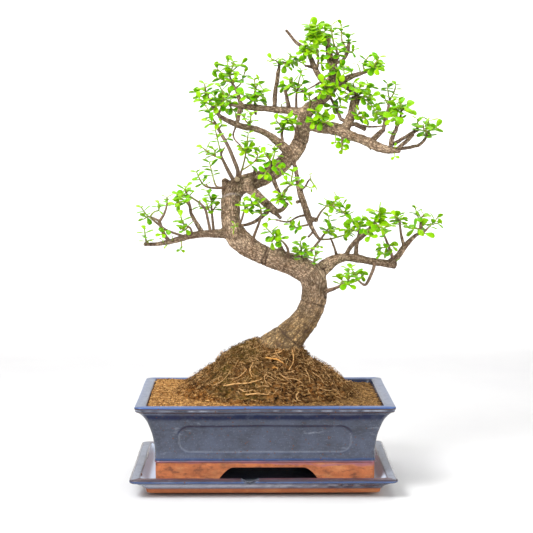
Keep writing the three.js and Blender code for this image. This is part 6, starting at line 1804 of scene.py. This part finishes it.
# Sprouts too small to be nodes of the tree, in the rows of the sprays
sprouts = [
    (2, 8, [(-36, 296, -17, 0.8), (-35, 304, -22, 0.7), (-34, 310, -24, 0.6)]),
    (1, 5, [(-110, 290, -25, 0.6), (-110, 295, -27, 0.5)]),
    (1, 6, [(-120, 287, -26, 0.6), (-122, 291, -30, 0.5)]),
    (1, 6, [(-117, 288, -24, 0.6), (-118, 283, -28, 0.5)]),
    (2, 8.5, [(-99, 291, -20, 0.9), (-99, 284, -23, 0.8), (-99.5, 278, -24, 0.6)]),
    (1, 9, [(52, 356, -28, 0.8), (59, 353.5, -31, 0.6)]),
    (1, 6, [(57, 364.5, -27, 1.1), (61, 359, -29, 0.9), (65, 353, -30, 0.6)]),
    (1, 6, [(59, 362, -28, 0.7), (57, 370, -30, 0.5)]),
    (1, 8, [(16, 315, -45, 0.8), (9, 315, -47, 0.6)]),
    (1, 7, [(30, 312.5, -37, 0.7), (31, 316, -39, 0.5)]),
    (1, 7, [(160, 261, 24, 0.7), (164, 266, 22, 0.5)]),
    (2, 9, [(156.5, 412, -42, 0.8), (156, 422, -46, 0.6)]),
    (1, 8, [(159, 399, -37, 0.7), (160, 391, -41, 0.5)]),
    (1, 8, [(158, 399, -37, 0.7), (160, 404, -42, 0.5)]),
    (1, 9, [(88, 424, -12, 0.9), (88, 408, -20, 0.6)]),
    (3, 11, [(56, 449, -3, 1.1), (57, 460, -10, 0.9), (54, 467, -14, 0.7)]),
    (1, 9, [(22, 448, 14, 0.8), (23, 455, 10, 0.6)]),
    (1, 9, [(106, 487, -14, 0.8), (107, 493, -18, 0.6)]),
    (1, 9, [(118, 491, -20, 0.9), (116.5, 497, -21, 0.8), (114, 503, -22, 0.6)]),
    (1, 9, [(-26, 404, -43, 0.8), (-26, 399, -46, 0.6)]),
    (0, 0, [(-139, 286, -31, 1.1), (-139, 290, -35, 0.8), (-133, 289, -40, 0.6)]),
    (4, 12, [(96, 416, -15, 1.5), (96, 405, -27, 1.2), (97, 400, -30, 0.9)]),
]


buildPot()
buildTray()
print("pot and tray made")
buildMound()
buildFibres()
buildRoots()
buildSoil()
buildCrumbs()
print("ground made")
woodPath = buildWood()
print("wood made")
nextSeed = 0
for sprayName, shoots in sprayShoots.items():
    nextSeed = buildSpray("foliage_" + sprayName, shoots, nextSeed, woodPath, "spray_" + sprayName)
buildSpray("sprouts", sprouts, 900)
print("foliage made:", sum(len(piece.data.polygons) for piece in bonsaiPieces), "faces in all")

for node in ("drain_mesh_left", "drain_mesh_right"):
    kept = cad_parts[node]
    kept.data.materials.clear()
    kept.data.materials.append(meshMaterial)


# Plain floor, soft studio light and the photograph's point of view
def buildFloor():
    # a level floor that curves up into a backdrop
    run = [(-2500, 0), (1700, 0), (2500, 60), (3100, 320), (3450, 850), (3550, 1500), (3550, 4500)]
    curve = smoothCourse(run, 6)
    count = len(curve)
    rows = [np.column_stack([np.full(count, x), curve]) for x in np.linspace(-6000, 6000, 5)]
    a = (np.arange(4)[:, None] * count + np.arange(count - 1)).ravel()
    faces = [np.stack([a, a + count, a + count + 1, a + 1], axis=1)]
    paint = Paintwork("floorPaper", 0.9)
    colour = paint.over((0.66, 0.66, 0.67), (0.70, 0.70, 0.70), paint.clouds(2))
    floor = makePiece("floor", np.vstack(rows), faces, [paint.finish(colour)])
    bonsaiPieces.remove(floor)


def softLight(name, at, size, power, aim=(0, 0, 250)):
    # a round area lamp, in metres and watts, at one point and turned to another
    lamp = bpy.data.lights.new(name, "AREA")
    lamp.shape, lamp.size, lamp.energy = "DISK", size, power
    light = bpy.data.objects.new(name, lamp)
    scene.collection.objects.link(light)
    light.location = Vector(at) * mm
    light.rotation_euler = (Vector(aim) - Vector(at)).to_track_quat("-Z", "Y").to_euler()


buildFloor()
softLight("keyLight", (-900, -1100, 1500), 0.9, 42)
softLight("fillLight", (1300, -1200, 800), 1.2, 16)
softLight("topLight", (100, 300, 1700), 1.2, 14)
for side in (-1, 1):
    softLight("wallLight", (1900 * side, 1600, 1200), 1.4, 85, (1400 * side, 3500, 800))
scene.view_settings.view_transform = "Standard"
scene.world = bpy.data.worlds.new("studio")
scene.world.use_nodes = True
scene.world.node_tree.nodes["Background"].inputs["Color"].default_value = (1, 0.985, 0.965, 1)
scene.world.node_tree.nodes["Background"].inputs["Strength"].default_value = 0.55

camera = bpy.data.objects.new("camera", bpy.data.cameras.new("camera"))
scene.collection.objects.link(camera)
scene.camera = camera
camera.location = Vector(view["cameraAt"]) * mm
camera.rotation_euler = (math.radians(90 - view["tiltDown"]), 0, math.radians(-view["turnRight"]))
camera.data.lens = view["focalPixels"] / view["photoWidth"] * camera.data.sensor_width
print("stage and camera set")
